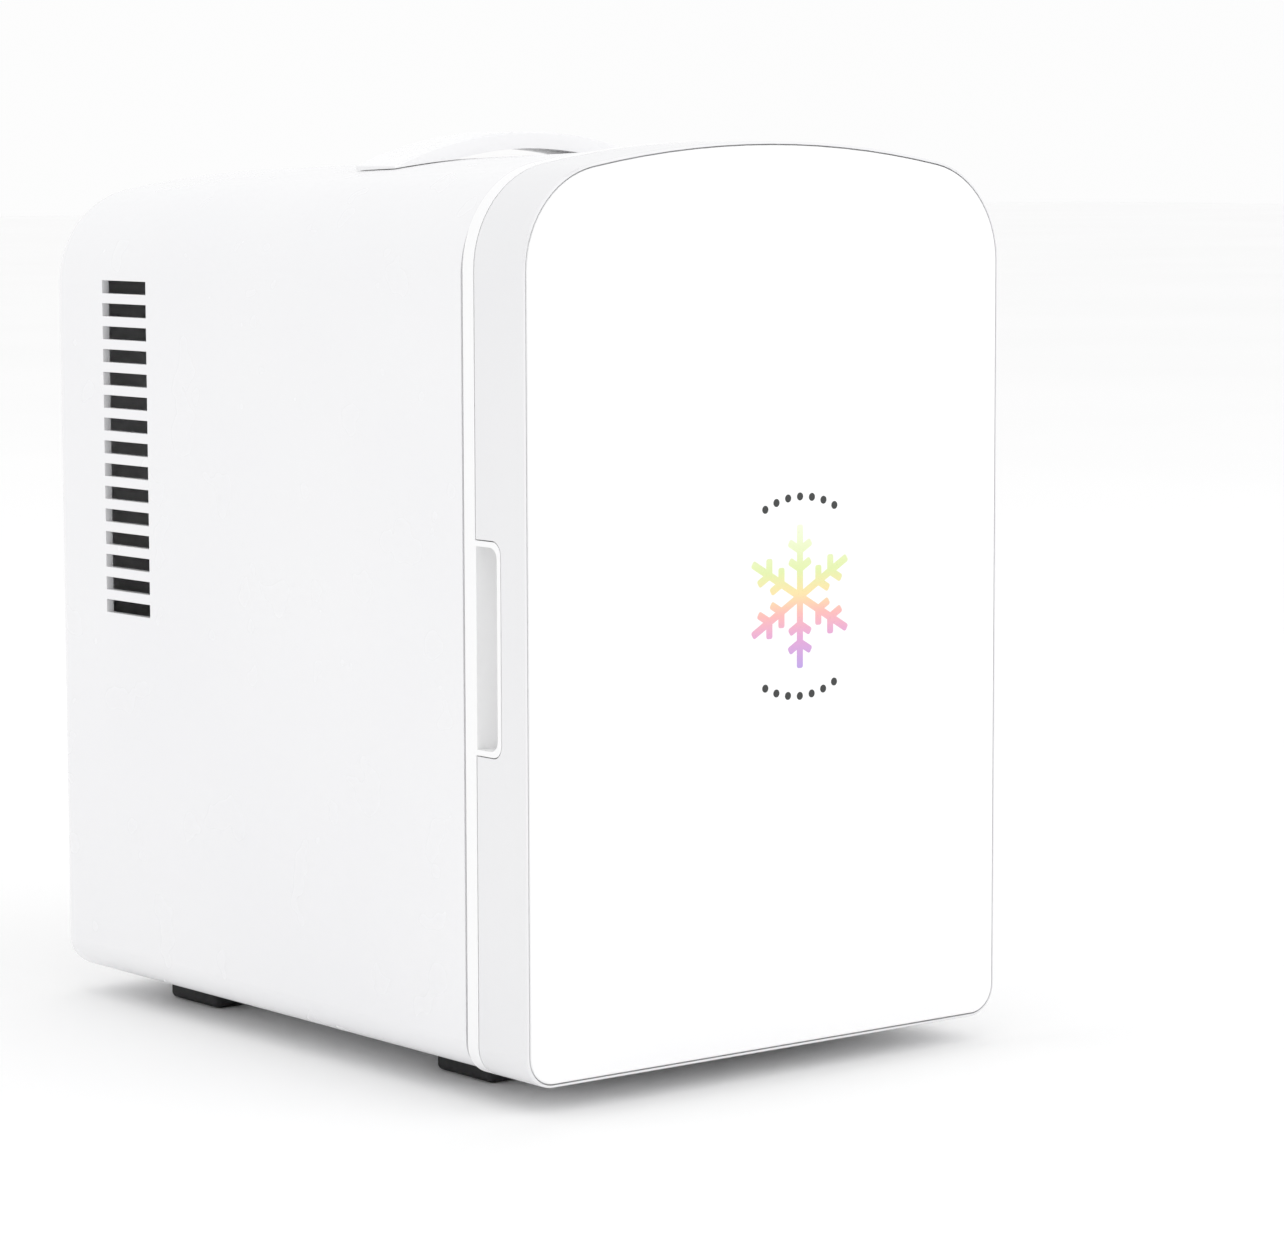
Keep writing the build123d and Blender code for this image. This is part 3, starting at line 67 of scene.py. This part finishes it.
def startMaterial(name, sockets):
    # one Principled shader, with every plain number set straight on its sockets
    material = bpy.data.materials.new(name)
    material.use_nodes = True
    tree = material.node_tree
    tree.nodes.clear()
    shader = addNode(tree, "ShaderNodeBsdfPrincipled", sockets)
    addNode(tree, "ShaderNodeOutputMaterial", links={"Surface": shader.outputs[0]})
    place = addNode(tree, "ShaderNodeTexCoord").outputs["Object"]
    return material, tree, shader, place


def perMetre(millimetres):
    # the texture scale of a pattern whose features are this many millimetres across
    return 1000 / millimetres


def mouldedPlastic(name, look):
    # moulding leaves slow clouds of tone, patches that shine a little less, and the skin of the tool
    material, tree, shader, place = startMaterial(name, look["sockets"])
    clouds = addNode(tree, "ShaderNodeTexNoise",
                     {"Scale": perMetre(look["cloudMm"]), "Detail": 2.0}, {"Vector": place})
    tone = addNode(tree, "ShaderNodeValToRGB", links={"Fac": clouds.outputs["Fac"]})
    tone.color_ramp.elements[0].position = 0.15
    tone.color_ramp.elements[0].color = linearColour(look["shade"])
    tone.color_ramp.elements[1].position = 0.85
    tone.color_ramp.elements[1].color = linearColour(look["colour"])
    tree.links.new(tone.outputs["Color"], shader.inputs["Base Color"])
    patches = addNode(tree, "ShaderNodeTexNoise",
                      {"Scale": perMetre(look["patchMm"]), "Detail": 2.0}, {"Vector": place})
    rough = addNode(tree, "ShaderNodeMapRange",
                    {"From Min": 0.1, "From Max": 0.9,
                     "To Min": look["roughness"][0], "To Max": look["roughness"][1]},
                    {"Value": patches.outputs["Fac"]})
    tree.links.new(rough.outputs["Result"], shader.inputs["Roughness"])
    skin = addNode(tree, "ShaderNodeTexNoise",
                   {"Scale": perMetre(look["skinMm"]), "Detail": 2.0, "Roughness": 0.45},
                   {"Vector": place})
    relief = addNode(tree, "ShaderNodeBump",
                     {"Strength": look["relief"], "Distance": look["skinDepth"] * mm},
                     {"Height": skin.outputs["Fac"]})
    tree.links.new(relief.outputs["Normal"], shader.inputs["Normal"])
    return material


def workedMetal(name, look):
    # the marks run along one direction, so the pattern is drawn out that way before it tints, dulls and dents
    material, tree, shader, place = startMaterial(name, {"Metallic": 1.0, **look["sockets"]})
    drawn = addNode(tree, "ShaderNodeMapping", {"Scale": look["drawn"]}, {"Vector": place})
    marks = addNode(tree, "ShaderNodeTexNoise",
                    {"Scale": perMetre(look["markMm"]), "Detail": 4.0, "Roughness": 0.6},
                    {"Vector": drawn.outputs["Vector"]})
    tone = addNode(tree, "ShaderNodeValToRGB", links={"Fac": marks.outputs["Fac"]})
    tone.color_ramp.elements[0].position = 0.3
    tone.color_ramp.elements[0].color = linearColour(look["shade"])
    tone.color_ramp.elements[1].position = 0.7
    tone.color_ramp.elements[1].color = linearColour(look["colour"])
    tree.links.new(tone.outputs["Color"], shader.inputs["Base Color"])
    rough = addNode(tree, "ShaderNodeMapRange",
                    {"From Min": 0.3, "From Max": 0.7,
                     "To Min": look["roughness"][0], "To Max": look["roughness"][1]},
                    {"Value": marks.outputs["Fac"]})
    tree.links.new(rough.outputs["Result"], shader.inputs["Roughness"])
    relief = addNode(tree, "ShaderNodeBump",
                     {"Strength": look["relief"], "Distance": look["markDepth"] * mm},
                     {"Height": marks.outputs["Fac"]})
    tree.links.new(relief.outputs["Normal"], shader.inputs["Normal"])
    return material


# Door panel: clear acrylic painted white on the back. The eye gets a deep flat white with a hard, glassy top.
panelLook = {
    "colour": "#FBFBFB", "shade": "#F8F8F9", "cloudMm": 90, "patchMm": 30, "roughness": (0.10, 0.14),
    "skinMm": 9, "skinDepth": 0.004, "relief": 0.15,
    "sockets": {"IOR": 1.49, "Coat Weight": 1.0, "Coat Roughness": 0.02, "Coat IOR": 1.49},
}
# Door shell: polished moulded ABS. A cool white with a faint orange-peel in its highlights, greyer than the
# cabinet's same ABS: that grey is painted shade, the dimmer tone of the door's side.
doorPaintedShadeLook = {
    "colour": "#EDEDEE", "shade": "#E9E9EB", "cloudMm": 70, "patchMm": 14, "roughness": (0.20, 0.28),
    "skinMm": 1.6, "skinDepth": 0.001, "relief": 0.2,
    "sockets": {"IOR": 1.54},
}
# Cabinet: the same moulded ABS in one big shell, so the clouds of tone are wider.
cabinetLook = {
    "colour": "#F4F4F5", "shade": "#F0F0F2", "cloudMm": 110, "patchMm": 18, "roughness": (0.22, 0.30),
    "skinMm": 1.6, "skinDepth": 0.001, "relief": 0.2,
    "sockets": {"IOR": 1.54},
}
# Frames behind the door and round the cavity: ABS, its white painted brighter than the cabinet's as painted
# light, the light that washes the strip, and to lift the shade in the grip cup.
trimPaintedLightLook = {
    "colour": "#FBFBFB", "shade": "#F7F7F8", "cloudMm": 60, "patchMm": 12, "roughness": (0.26, 0.34),
    "skinMm": 1.2, "skinDepth": 0.001, "relief": 0.2,
    "sockets": {"IOR": 1.54},
}
# Carry handle: thick moulded ABS, gloss on top.
handleLook = {
    "colour": "#F9F9FA", "shade": "#F5F5F6", "cloudMm": 40, "patchMm": 9, "roughness": (0.24, 0.32),
    "skinMm": 1.2, "skinDepth": 0.001, "relief": 0.25,
    "sockets": {"IOR": 1.54},
}
# Rear cover: spark-eroded ABS. The fine pebble of the tool kills the gloss.
rearLook = {
    "colour": "#E9E9EA", "shade": "#E3E3E5", "cloudMm": 50, "patchMm": 6, "roughness": (0.48, 0.60),
    "skinMm": 0.9, "skinDepth": 0.03, "relief": 0.6,  # real pebble is 0.3 mm, drawn coarser to show
    "sockets": {"IOR": 1.54},
}
# Cavity and door liner: vacuum-formed polystyrene, thin, satin and slightly cold.
linerLook = {
    "colour": "#E9ECEE", "shade": "#E3E7EA", "cloudMm": 45, "patchMm": 10, "roughness": (0.30, 0.42),
    "skinMm": 4, "skinDepth": 0.02, "relief": 0.3,
    "sockets": {"IOR": 1.59, "Subsurface Weight": 0.08, "Subsurface Scale": 0.002},
}
# Shelf and bin: frosted polystyrene. Light passes into it and comes out milky.
frostedLook = {
    "colour": "#F9FBFC", "shade": "#F1F6F8", "cloudMm": 30, "patchMm": 5, "roughness": (0.34, 0.46),
    "skinMm": 0.8, "skinDepth": 0.01, "relief": 0.4,
    "sockets": {"IOR": 1.59, "Transmission Weight": 0.35},
}
# Insulation: rigid polyurethane foam, cream, open bubbles where it is cut.
foamLook = {
    "colour": "#EADFB4", "shade": "#D8C88F", "cloudMm": 25, "patchMm": 4, "roughness": (0.85, 0.95),
    "skinMm": 1.5, "skinDepth": 0.35, "relief": 0.9,
    "sockets": {"IOR": 1.45},
}
# Ring round the thermoelectric module: black closed-cell foam.
sealLook = {
    "colour": "#242426", "shade": "#18181A", "cloudMm": 6, "patchMm": 2, "roughness": (0.8, 0.92),
    "skinMm": 0.7, "skinDepth": 0.12, "relief": 0.8,
    "sockets": {"IOR": 1.45},
}
# Door gasket: plasticised PVC, soft grey with a waxy sheen.
gasketLook = {
    "colour": "#C6C7C9", "shade": "#B7B9BC", "cloudMm": 20, "patchMm": 4, "roughness": (0.42, 0.56),
    "skinMm": 1.0, "skinDepth": 0.02, "relief": 0.4,
    "sockets": {"IOR": 1.52, "Sheen Weight": 0.15, "Sheen Roughness": 0.4},
}
# Feet: moulded nitrile rubber, near black, dusty on the faces that touch the table.
feetLook = {
    "colour": "#222224", "shade": "#18181A", "cloudMm": 8, "patchMm": 2, "roughness": (0.66, 0.84),
    "skinMm": 0.8, "skinDepth": 0.05, "relief": 0.6,
    "sockets": {"IOR": 1.52},
}
# Bulkhead: black polypropylene sheet, dull.
bulkheadLook = {
    "colour": "#161618", "shade": "#0E0E10", "cloudMm": 35, "patchMm": 5, "roughness": (0.5, 0.65),
    "skinMm": 1.2, "skinDepth": 0.03, "relief": 0.5,
    "sockets": {"IOR": 1.5},
}
# Fans: glass-filled PBT. The fibres near the skin give a faint grey bloom.
fanLook = {
    "colour": "#1E1E21", "shade": "#101012", "cloudMm": 7, "patchMm": 1.5, "roughness": (0.38, 0.58),
    "skinMm": 0.6, "skinDepth": 0.02, "relief": 0.5,
    "sockets": {"IOR": 1.55},
}
# Sockets: black polyamide, finely eroded.
socketLook = {
    "colour": "#1A1A1C", "shade": "#121214", "cloudMm": 9, "patchMm": 2, "roughness": (0.42, 0.55),
    "skinMm": 0.5, "skinDepth": 0.015, "relief": 0.5,
    "sockets": {"IOR": 1.53},
}
# Rocker: polished polyamide, worn a little where fingers press.
rockerLook = {
    "colour": "#17171A", "shade": "#0F0F11", "cloudMm": 5, "patchMm": 1.5, "roughness": (0.14, 0.30),
    "skinMm": 0.8, "skinDepth": 0.008, "relief": 0.3,
    "sockets": {"IOR": 1.53, "Coat Weight": 0.3, "Coat Roughness": 0.08},
}
# Lamp: green-tinted polycarbonate lens.
lampLook = {
    "colour": "#8FE0A2", "shade": "#6CCB86", "cloudMm": 3, "patchMm": 1, "roughness": (0.08, 0.16),
    "skinMm": 0.6, "skinDepth": 0.005, "relief": 0.3,
    "sockets": {"IOR": 1.58, "Transmission Weight": 0.7},
}
# Washers: natural nylon, ivory and waxy.
washerLook = {
    "colour": "#EFEADB", "shade": "#E4DCC6", "cloudMm": 3, "patchMm": 1, "roughness": (0.4, 0.5),
    "skinMm": 0.5, "skinDepth": 0.01, "relief": 0.3,
    "sockets": {"IOR": 1.53, "Subsurface Weight": 0.2, "Subsurface Scale": 0.001},
}
# Thermoelectric module: pressed alumina plates, chalky white.
ceramicLook = {
    "colour": "#F1EFEA", "shade": "#E6E3DB", "cloudMm": 8, "patchMm": 2, "roughness": (0.6, 0.75),
    "skinMm": 0.4, "skinDepth": 0.01, "relief": 0.5,
    "sockets": {"IOR": 1.76},
}
# Capacitors: heat-shrunk PVC sleeve, blue-black and slightly rippled.
sleeveLook = {
    "colour": "#23233A", "shade": "#191928", "cloudMm": 4, "patchMm": 2, "roughness": (0.22, 0.36),
    "skinMm": 1.4, "skinDepth": 0.03, "relief": 0.4,
    "sockets": {"IOR": 1.52},
}
# Hinge leaves: pressed steel under white stove enamel, so the white looks poured rather than moulded.
enamelLook = {
    "colour": "#F1F1F0", "shade": "#EBEBEA", "cloudMm": 12, "patchMm": 4, "roughness": (0.24, 0.36),
    "skinMm": 1.1, "skinDepth": 0.01, "relief": 0.35,
    "sockets": {"IOR": 1.5, "Coat Weight": 0.5, "Coat Roughness": 0.08},
}
# Screws: bright zinc plate, a thin yellowish bloom over steel.
zincLook = {
    "colour": "#D2D0C8", "shade": "#B7B6B0", "drawn": (1, 1, 1), "markMm": 0.8, "roughness": (0.24, 0.40),
    "markDepth": 0.01, "relief": 0.3, "sockets": {},
}
# Hinge pins: ground steel, with rings of fine scratches round the axis.
groundLook = {
    "colour": "#CFCFD0", "shade": "#A9AAAC", "drawn": (0.2, 0.2, 3), "markMm": 0.7, "roughness": (0.18, 0.32),
    "markDepth": 0.006, "relief": 0.3, "sockets": {"Anisotropic": 0.4},
}
# Magnets and striker plates: nickel plate, warm and even.
nickelLook = {
    "colour": "#D3CDC0", "shade": "#BDB7AA", "drawn": (1, 1, 1), "markMm": 2.0, "roughness": (0.2, 0.34),
    "markDepth": 0.006, "relief": 0.25, "sockets": {},
}
# Heatsinks and spacer: extruded aluminium, with die lines that run up the fins.
extrudedLook = {
    "colour": "#DADBDD", "shade": "#B9BBBE", "drawn": (3, 3, 0.15), "markMm": 1.2, "roughness": (0.3, 0.46),
    "markDepth": 0.02, "relief": 0.35, "sockets": {},
}


def circuitBoard(name, look):
    # FR4 laminate: glass cloth under green lacquer, copper tracks standing a little proud of it
    material, tree, shader, place = startMaterial(name, look["sockets"])
    cells = addNode(tree, "ShaderNodeTexBrick",
                    {"Scale": perMetre(look["trackMm"]), "offset": 0.37, "Mortar Size": 0.09,
                     "Mortar Smooth": 0.1, "Brick Width": 4.3, "Row Height": 1.0,
                     "Color1": linearColour(look["lacquer"]), "Color2": linearColour(look["lacquerOld"]),
                     "Mortar": linearColour(look["copper"])})
    turned = addNode(tree, "ShaderNodeMapping", {"Rotation": (math.radians(90), 0, 0)}, {"Vector": place})
    tree.links.new(turned.outputs["Vector"], cells.inputs["Vector"])
    tree.links.new(cells.outputs["Color"], shader.inputs["Base Color"])
    cloth = addNode(tree, "ShaderNodeTexNoise", {"Scale": perMetre(look["clothMm"]), "Detail": 3.0},
                    {"Vector": place})
    rough = addNode(tree, "ShaderNodeMapRange", {"To Min": 0.25, "To Max": 0.5},
                    {"Value": cloth.outputs["Fac"]})
    tree.links.new(rough.outputs["Result"], shader.inputs["Roughness"])
    relief = addNode(tree, "ShaderNodeBump", {"Strength": 0.5, "Distance": 0.04 * mm},
                     {"Height": cells.outputs["Fac"]})
    tree.links.new(relief.outputs["Normal"], shader.inputs["Normal"])
    return material


boardLook = {
    "trackMm": 2.6, "clothMm": 1.0,  # real cloth is 0.4 mm, drawn coarser to show
    "lacquer": "#1F6B3C", "lacquerOld": "#1A5F35", "copper": "#3C8A58",
    "sockets": {"IOR": 1.5, "Coat Weight": 0.4, "Coat Roughness": 0.15},
}


def woundTape(name, look):
    # polyester tape wound over a coil: turns that overlap, each edge a thin darker line
    material, tree, shader, place = startMaterial(name, look["sockets"])
    turns = addNode(tree, "ShaderNodeTexWave",
                    {"wave_type": "BANDS", "bands_direction": "Z", "wave_profile": "SAW",
                     "Scale": perMetre(look["turnMm"]) / 20, "Distortion": 0.4, "Detail": 1.0},
                    {"Vector": place})
    tone = addNode(tree, "ShaderNodeValToRGB", links={"Fac": turns.outputs["Fac"]})
    tone.color_ramp.elements[0].position = 0.05
    tone.color_ramp.elements[0].color = linearColour(look["edge"])
    tone.color_ramp.elements[1].position = 0.2
    tone.color_ramp.elements[1].color = linearColour(look["colour"])
    tree.links.new(tone.outputs["Color"], shader.inputs["Base Color"])
    creases = addNode(tree, "ShaderNodeTexNoise", {"Scale": perMetre(look["creaseMm"]), "Detail": 4.0},
                      {"Vector": place})
    rough = addNode(tree, "ShaderNodeMapRange", {"To Min": 0.18, "To Max": 0.4},
                    {"Value": creases.outputs["Fac"]})
    tree.links.new(rough.outputs["Result"], shader.inputs["Roughness"])
    relief = addNode(tree, "ShaderNodeBump", {"Strength": 0.5, "Distance": 0.05 * mm},
                     {"Height": turns.outputs["Fac"]})
    tree.links.new(relief.outputs["Normal"], shader.inputs["Normal"])
    return material


tapeLook = {"turnMm": 3.0, "creaseMm": 2.5, "colour": "#E3B93A", "edge": "#8A6A1C", "sockets": {"IOR": 1.6}}


def screenInk(name, look):
    # printed ink: the colour runs up the print, and a fine grain dulls it against the glossy sheet
    material, tree, shader, place = startMaterial(name, look["sockets"])
    height = addNode(tree, "ShaderNodeSeparateXYZ", links={"Vector": place})
    share = addNode(tree, "ShaderNodeMapRange",
                    {"From Min": look["from"], "From Max": look["to"]},
                    {"Value": height.outputs["Z"]})
    tone = addNode(tree, "ShaderNodeValToRGB", links={"Fac": share.outputs["Result"]})
    first, *between, last = look["stops"]
    for end, (position, colour) in zip(tone.color_ramp.elements, (first, last)):
        end.position = position
        end.color = linearColour(colour)
    for position, colour in between:
        tone.color_ramp.elements.new(position).color = linearColour(colour)
    tree.links.new(tone.outputs["Color"], shader.inputs["Base Color"])
    grain = addNode(tree, "ShaderNodeTexNoise", {"Scale": perMetre(look["grainMm"]), "Detail": 2.0},
                    {"Vector": place})
    rough = addNode(tree, "ShaderNodeMapRange", {"To Min": 0.22, "To Max": 0.38},
                    {"Value": grain.outputs["Fac"]})
    tree.links.new(rough.outputs["Result"], shader.inputs["Roughness"])
    relief = addNode(tree, "ShaderNodeBump", {"Strength": 0.2, "Distance": 0.004 * mm},
                     {"Height": grain.outputs["Fac"]})
    tree.links.new(relief.outputs["Normal"], shader.inputs["Normal"])
    return material


finishes = {
    "panel_acrylic": mouldedPlastic("backPaintedAcrylic", panelLook),
    # the door shell's greyer white is painted shade
    "door_white": mouldedPlastic("polishedAbsDoorPaintedShade", doorPaintedShadeLook),
    "cabinet_white": mouldedPlastic("polishedAbsCabinet", cabinetLook),
    # the trim's extra brightness is painted light
    "trim_white": mouldedPlastic("brightAbsTrimPaintedLight", trimPaintedLightLook),
    "handle_white": mouldedPlastic("glossAbsHandle", handleLook),
    "rear_white": mouldedPlastic("erodedAbsRear", rearLook),
    "liner_white": mouldedPlastic("formedPolystyreneLiner", linerLook),
    "shelf_clear": mouldedPlastic("frostedPolystyrene", frostedLook),
    "insulation_foam": mouldedPlastic("rigidPolyurethaneFoam", foamLook),
    "gasket_foam": mouldedPlastic("closedCellFoamSeal", sealLook),
    "gasket_rubber": mouldedPlastic("softPvcGasket", gasketLook),
    "feet_rubber": mouldedPlastic("nitrileRubberFeet", feetLook),
    "plastic_black": mouldedPlastic("blackPolypropylene", bulkheadLook),
    "fan_black": mouldedPlastic("glassFilledFan", fanLook),
    "socket_black": mouldedPlastic("erodedPolyamideSocket", socketLook),
    "switch_black": mouldedPlastic("polishedPolyamideRocker", rockerLook),
    "led_green": mouldedPlastic("greenPolycarbonateLens", lampLook),
    "washer_nylon": mouldedPlastic("naturalNylon", washerLook),
    "module_ceramic": mouldedPlastic("pressedAlumina", ceramicLook),
    "capacitor_black": mouldedPlastic("shrunkPvcSleeve", sleeveLook),
    "hinge_steel": mouldedPlastic("whiteStoveEnamel", enamelLook),
    "steel_plated": workedMetal("brightZincPlate", zincLook),
    "steel_pin": workedMetal("groundSteelPin", groundLook),
    "magnet_nickel": workedMetal("nickelPlate", nickelLook),
    "aluminium_extruded": workedMetal("extrudedAluminium", extrudedLook),
    "board_green": circuitBoard("lacqueredFr4Board", boardLook),
    "transformer_yellow": woundTape("woundPolyesterTape", tapeLook),
}
for part in frame["record"]["subparts"]:
    for place in nodes[part["node"]].material_slots:
        place.material = finishes[part["material_slot"]]
print("finishes on", len(nodes), "pieces")


def snowflakeOutline(look):
    # six equal arms, each with pairs of side branches at sixty degrees, as one closed line
    half = look["stroke"] / 2
    side, along = math.sin(math.radians(60)), math.cos(math.radians(60))
    arm = [(2 * half * side, half)]
    for start, length in look["branches"]:
        near = half * (1 - along) / side
        far = half * (1 + along) / side
        arm.append((start - half * side + near * along, half))
        arm.append((start + length * along - half * side, length * side + half * along))
        arm.append((start + length * along + half * side, length * side - half * along))
        arm.append((start + half * side + far * along, half))
    arm.append((look["reach"], half))
    sector = [(x, -z) for x, z in arm[1:]] + arm[::-1]
    line = []
    for k in range(6):
        turn = math.radians(60 * k + 30)
        c, s = math.cos(turn), math.sin(turn)
        line += [(x * c - z * s, x * s + z * c) for x, z in sector]
    return line


def roundOutline(radius, sides):
    steps = [2 * math.pi * j / sides for j in range(sides)]
    return [(radius * math.cos(step), radius * math.sin(step)) for step in steps]


def flatPlates(name, outlines, centre, front, back, rounding):
    # closed outlines in the XZ plane, with their outer corners rounded, as thin plates from front to back
    mesh = bpy.data.meshes.new(name)
    shape = bmesh.new()
    outer = []
    for outline in outlines:
        corners = [
            shape.verts.new(((centre[0] + x) * mm, front, (centre[1] + z) * mm)) for x, z in outline
        ]
        shape.faces.new(corners)
        spots = [Vector(spot) for spot in outline]
        area = sum(spots[k - 1].cross(spots[k]) for k in range(len(spots)))
        for k, corner in enumerate(corners):
            here, ahead = spots[k], spots[(k + 1) % len(spots)]
            bend = (here - spots[k - 1]).cross(ahead - here)
            if bend * area > 0:
                outer.append(corner)
    if rounding:
        bmesh.ops.bevel(shape, geom=outer, offset=rounding * mm, segments=4,
                        profile=0.5, affect="VERTICES", clamp_overlap=True)
    grown = bmesh.ops.extrude_face_region(shape, geom=shape.faces[:])
    for corner in grown["geom"]:
        if isinstance(corner, bmesh.types.BMVert):
            corner.co.y = back
    bmesh.ops.recalc_face_normals(shape, faces=shape.faces[:])
    shape.to_mesh(mesh)
    shape.free()
    plate = bpy.data.objects.new(name, mesh)
    scene.collection.objects.link(plate)
    return plate


# The door's print: a generic pastel snowflake with an arc of dots above and below it.
doorPrint = {
    "centreX": 10.5, "centreZ": 137.5, "reach": 20.5, "stroke": 2.3,
    "branches": ((8.0, 4.6), (13.2, 4.8)), "thickness": 0.01,
    "arcRadius": 28.5, "dotRadius": 1.15, "dotTurn": 9.0, "dots": 7,
    "rootDepth": 0.05, "cornerRadius": 0.7, "dotSides": 32,
}
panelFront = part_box("front_panel")[0].y
printCentre = (doorPrint["centreX"], doorPrint["centreZ"])
printFront = panelFront - doorPrint["thickness"] * mm
printBack = panelFront + doorPrint["rootDepth"] * mm
flake = flatPlates("doorPrintSnowflake", [snowflakeOutline(doorPrint)], printCentre,
                   printFront, printBack, doorPrint["cornerRadius"])
dotLines = []
for side in (1, -1):
    for k in range(doorPrint["dots"]):
        turn = math.radians(90 * side + doorPrint["dotTurn"] * (k - (doorPrint["dots"] - 1) / 2))
        dotX = doorPrint["arcRadius"] * math.cos(turn)
        dotZ = doorPrint["arcRadius"] * math.sin(turn)
        dotLines.append([
            (dotX + x, dotZ + z) for x, z in roundOutline(doorPrint["dotRadius"], doorPrint["dotSides"])
        ])
dots = flatPlates("doorPrintDots", dotLines, printCentre, printFront, printBack, 0)
low = (doorPrint["centreZ"] - doorPrint["reach"]) * mm
high = (doorPrint["centreZ"] + doorPrint["reach"]) * mm
inkSockets = {"IOR": 1.5, "Coat Weight": 0.6, "Coat Roughness": 0.06}
# Pastel ink: milky and cool at the foot, warm across the middle, pale lime at the top.
pastelInk = {
    "from": low, "to": high, "grainMm": 0.8, "sockets": inkSockets,
    "stops": ((0.0, "#B79BE0"), (0.22, "#DFA0CF"), (0.38, "#F6B4B0"), (0.52, "#F5DDA0"),
              (0.68, "#DDEBA6"), (1.0, "#EEF5D8")),
}
# Black ink: one dense layer, so it reads as small, hard, slightly glossy dots.
blackInk = {
    "from": low, "to": high, "grainMm": 0.6, "sockets": inkSockets,
    "stops": ((0.0, "#101514"), (0.5, "#151B1A"), (1.0, "#111716")),
}
flake.data.materials.append(screenInk("pastelScreenInk", pastelInk))
dots.data.materials.append(screenInk("blackScreenInk", blackInk))
for piece in (flake, dots):
    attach(piece, "door")
print("door print made")

# Raised marks on the rear pocket's floor: cold on one side of the rocker, warm on the other.
rearMarks = {
    "height": 0.3, "rootDepth": 0.1, "offset": 12.6, "apart": 15.0, "bezel": 1.5,
    "reach": 2.9, "stroke": 0.5, "branches": ((1.5, 1.0),), "cornerRadius": 0.12,
    "rays": 8, "rayStart": 1.9, "sunRadius": 1.3, "sunSides": 24,
}
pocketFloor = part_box("switch_housing")[1].y - rearMarks["bezel"] * mm
middle = (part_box("switch_housing")[0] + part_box("switch_housing")[1]) / 2
rayLines = []
for k in range(rearMarks["rays"]):
    turn = 2 * math.pi * k / rearMarks["rays"]
    c, s = math.cos(turn), math.sin(turn)
    near, far, half = rearMarks["rayStart"], rearMarks["reach"], rearMarks["stroke"] / 2
    ray = [(near, -half), (far, -half), (far, half), (near, half)]
    rayLines.append([(x * c - z * s, x * s + z * c) for x, z in ray])
rayLines.append(roundOutline(rearMarks["sunRadius"], rearMarks["sunSides"]))
marks = [
    ("rearColdMark", [snowflakeOutline(rearMarks)], -rearMarks["apart"] / 2, rearMarks["cornerRadius"]),
    ("rearWarmMark", rayLines, rearMarks["apart"] / 2, 0),
]
for name, lines, x, rounding in marks:
    mark = flatPlates(name, lines, (x, middle.z / mm - rearMarks["offset"]),
                      pocketFloor + rearMarks["height"] * mm,
                      pocketFloor - rearMarks["rootDepth"] * mm, rounding)
    mark.data.materials.append(finishes["rear_white"])
    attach(mark, "cabinet")
print("rear marks made")

# Floor: a large sheet of matt white paper board, flat right out to where it meets the sky.
floorLook = {
    "colour": "#FEFEFE", "shade": "#FBFBFB", "cloudMm": 700, "patchMm": 60, "roughness": (0.75, 0.85),
    "skinMm": 3, "skinDepth": 0.01, "relief": 0.1, "sockets": {"IOR": 1.4, "Specular IOR Level": 0.3},
}
floorSize = {"halfWidth": 14.0, "squares": 24, "drop": 0.2}  # metres, count, millimetres
floorMesh = bpy.data.meshes.new("floor")
sheet = bmesh.new()
bmesh.ops.create_grid(sheet, x_segments=floorSize["squares"], y_segments=floorSize["squares"],
                      size=floorSize["halfWidth"])
sheet.to_mesh(floorMesh)
sheet.free()
floor = bpy.data.objects.new("floor", floorMesh)
floor.location.z = -floorSize["drop"] * mm
floor.data.materials.append(mouldedPlastic("mattWhiteBoard", floorLook))
scene.collection.objects.link(floor)

# Light: an even white tent does most of it. One broad lamp in front lifts the door, a weaker one the crown.
lamps = [
    {"name": "frontLamp", "place": (1.1, -2.2, 1.5), "aim": (0.0, -0.1, 0.12), "size": 1.9, "watts": 9},
    {"name": "topLamp", "place": (-0.5, 0.3, 2.4), "aim": (0.0, 0.0, 0.2), "size": 2.2, "watts": 4},
]
for lamp in lamps:
    data = bpy.data.lights.new(lamp["name"], "AREA")
    data.shape = "SQUARE"
    data.size = lamp["size"]
    data.energy = lamp["watts"]
    light = bpy.data.objects.new(lamp["name"], data)
    light.location = lamp["place"]
    toward = Vector(lamp["aim"]) - Vector(lamp["place"])
    light.rotation_euler = toward.to_track_quat("-Z", "Y").to_euler()
    scene.collection.objects.link(light)
tent = {"colour": "#FFFFFF", "strength": 0.98}
world = bpy.data.worlds.new("whiteTent")
world.use_nodes = True
scene.world = world
world.node_tree.nodes["Background"].inputs["Color"].default_value = linearColour(tent["colour"])
world.node_tree.nodes["Background"].inputs["Strength"].default_value = tent["strength"]
scene.view_settings.view_transform = "Standard"

# Camera: a long lens, a little above the door's middle, off its left corner.
shot = {
    "place": (-0.7993, -1.0568, 0.2646), "turn": 38.83, "tilt": 6.174, "roll": 0.157,
    "lens": 122.55, "sensor": 36.0, "nearest": 0.05, "farthest": 60.0,
}
camera = bpy.data.objects.new("camera", bpy.data.cameras.new("camera"))
camera.location = shot["place"]
camera.rotation_euler = [math.radians(a) for a in (90 - shot["tilt"], shot["roll"], -shot["turn"])]
camera.data.lens = shot["lens"]
camera.data.sensor_width = shot["sensor"]
camera.data.clip_start, camera.data.clip_end = shot["nearest"], shot["farthest"]
scene.collection.objects.link(camera)
scene.camera = camera
print("floor, light and camera set")
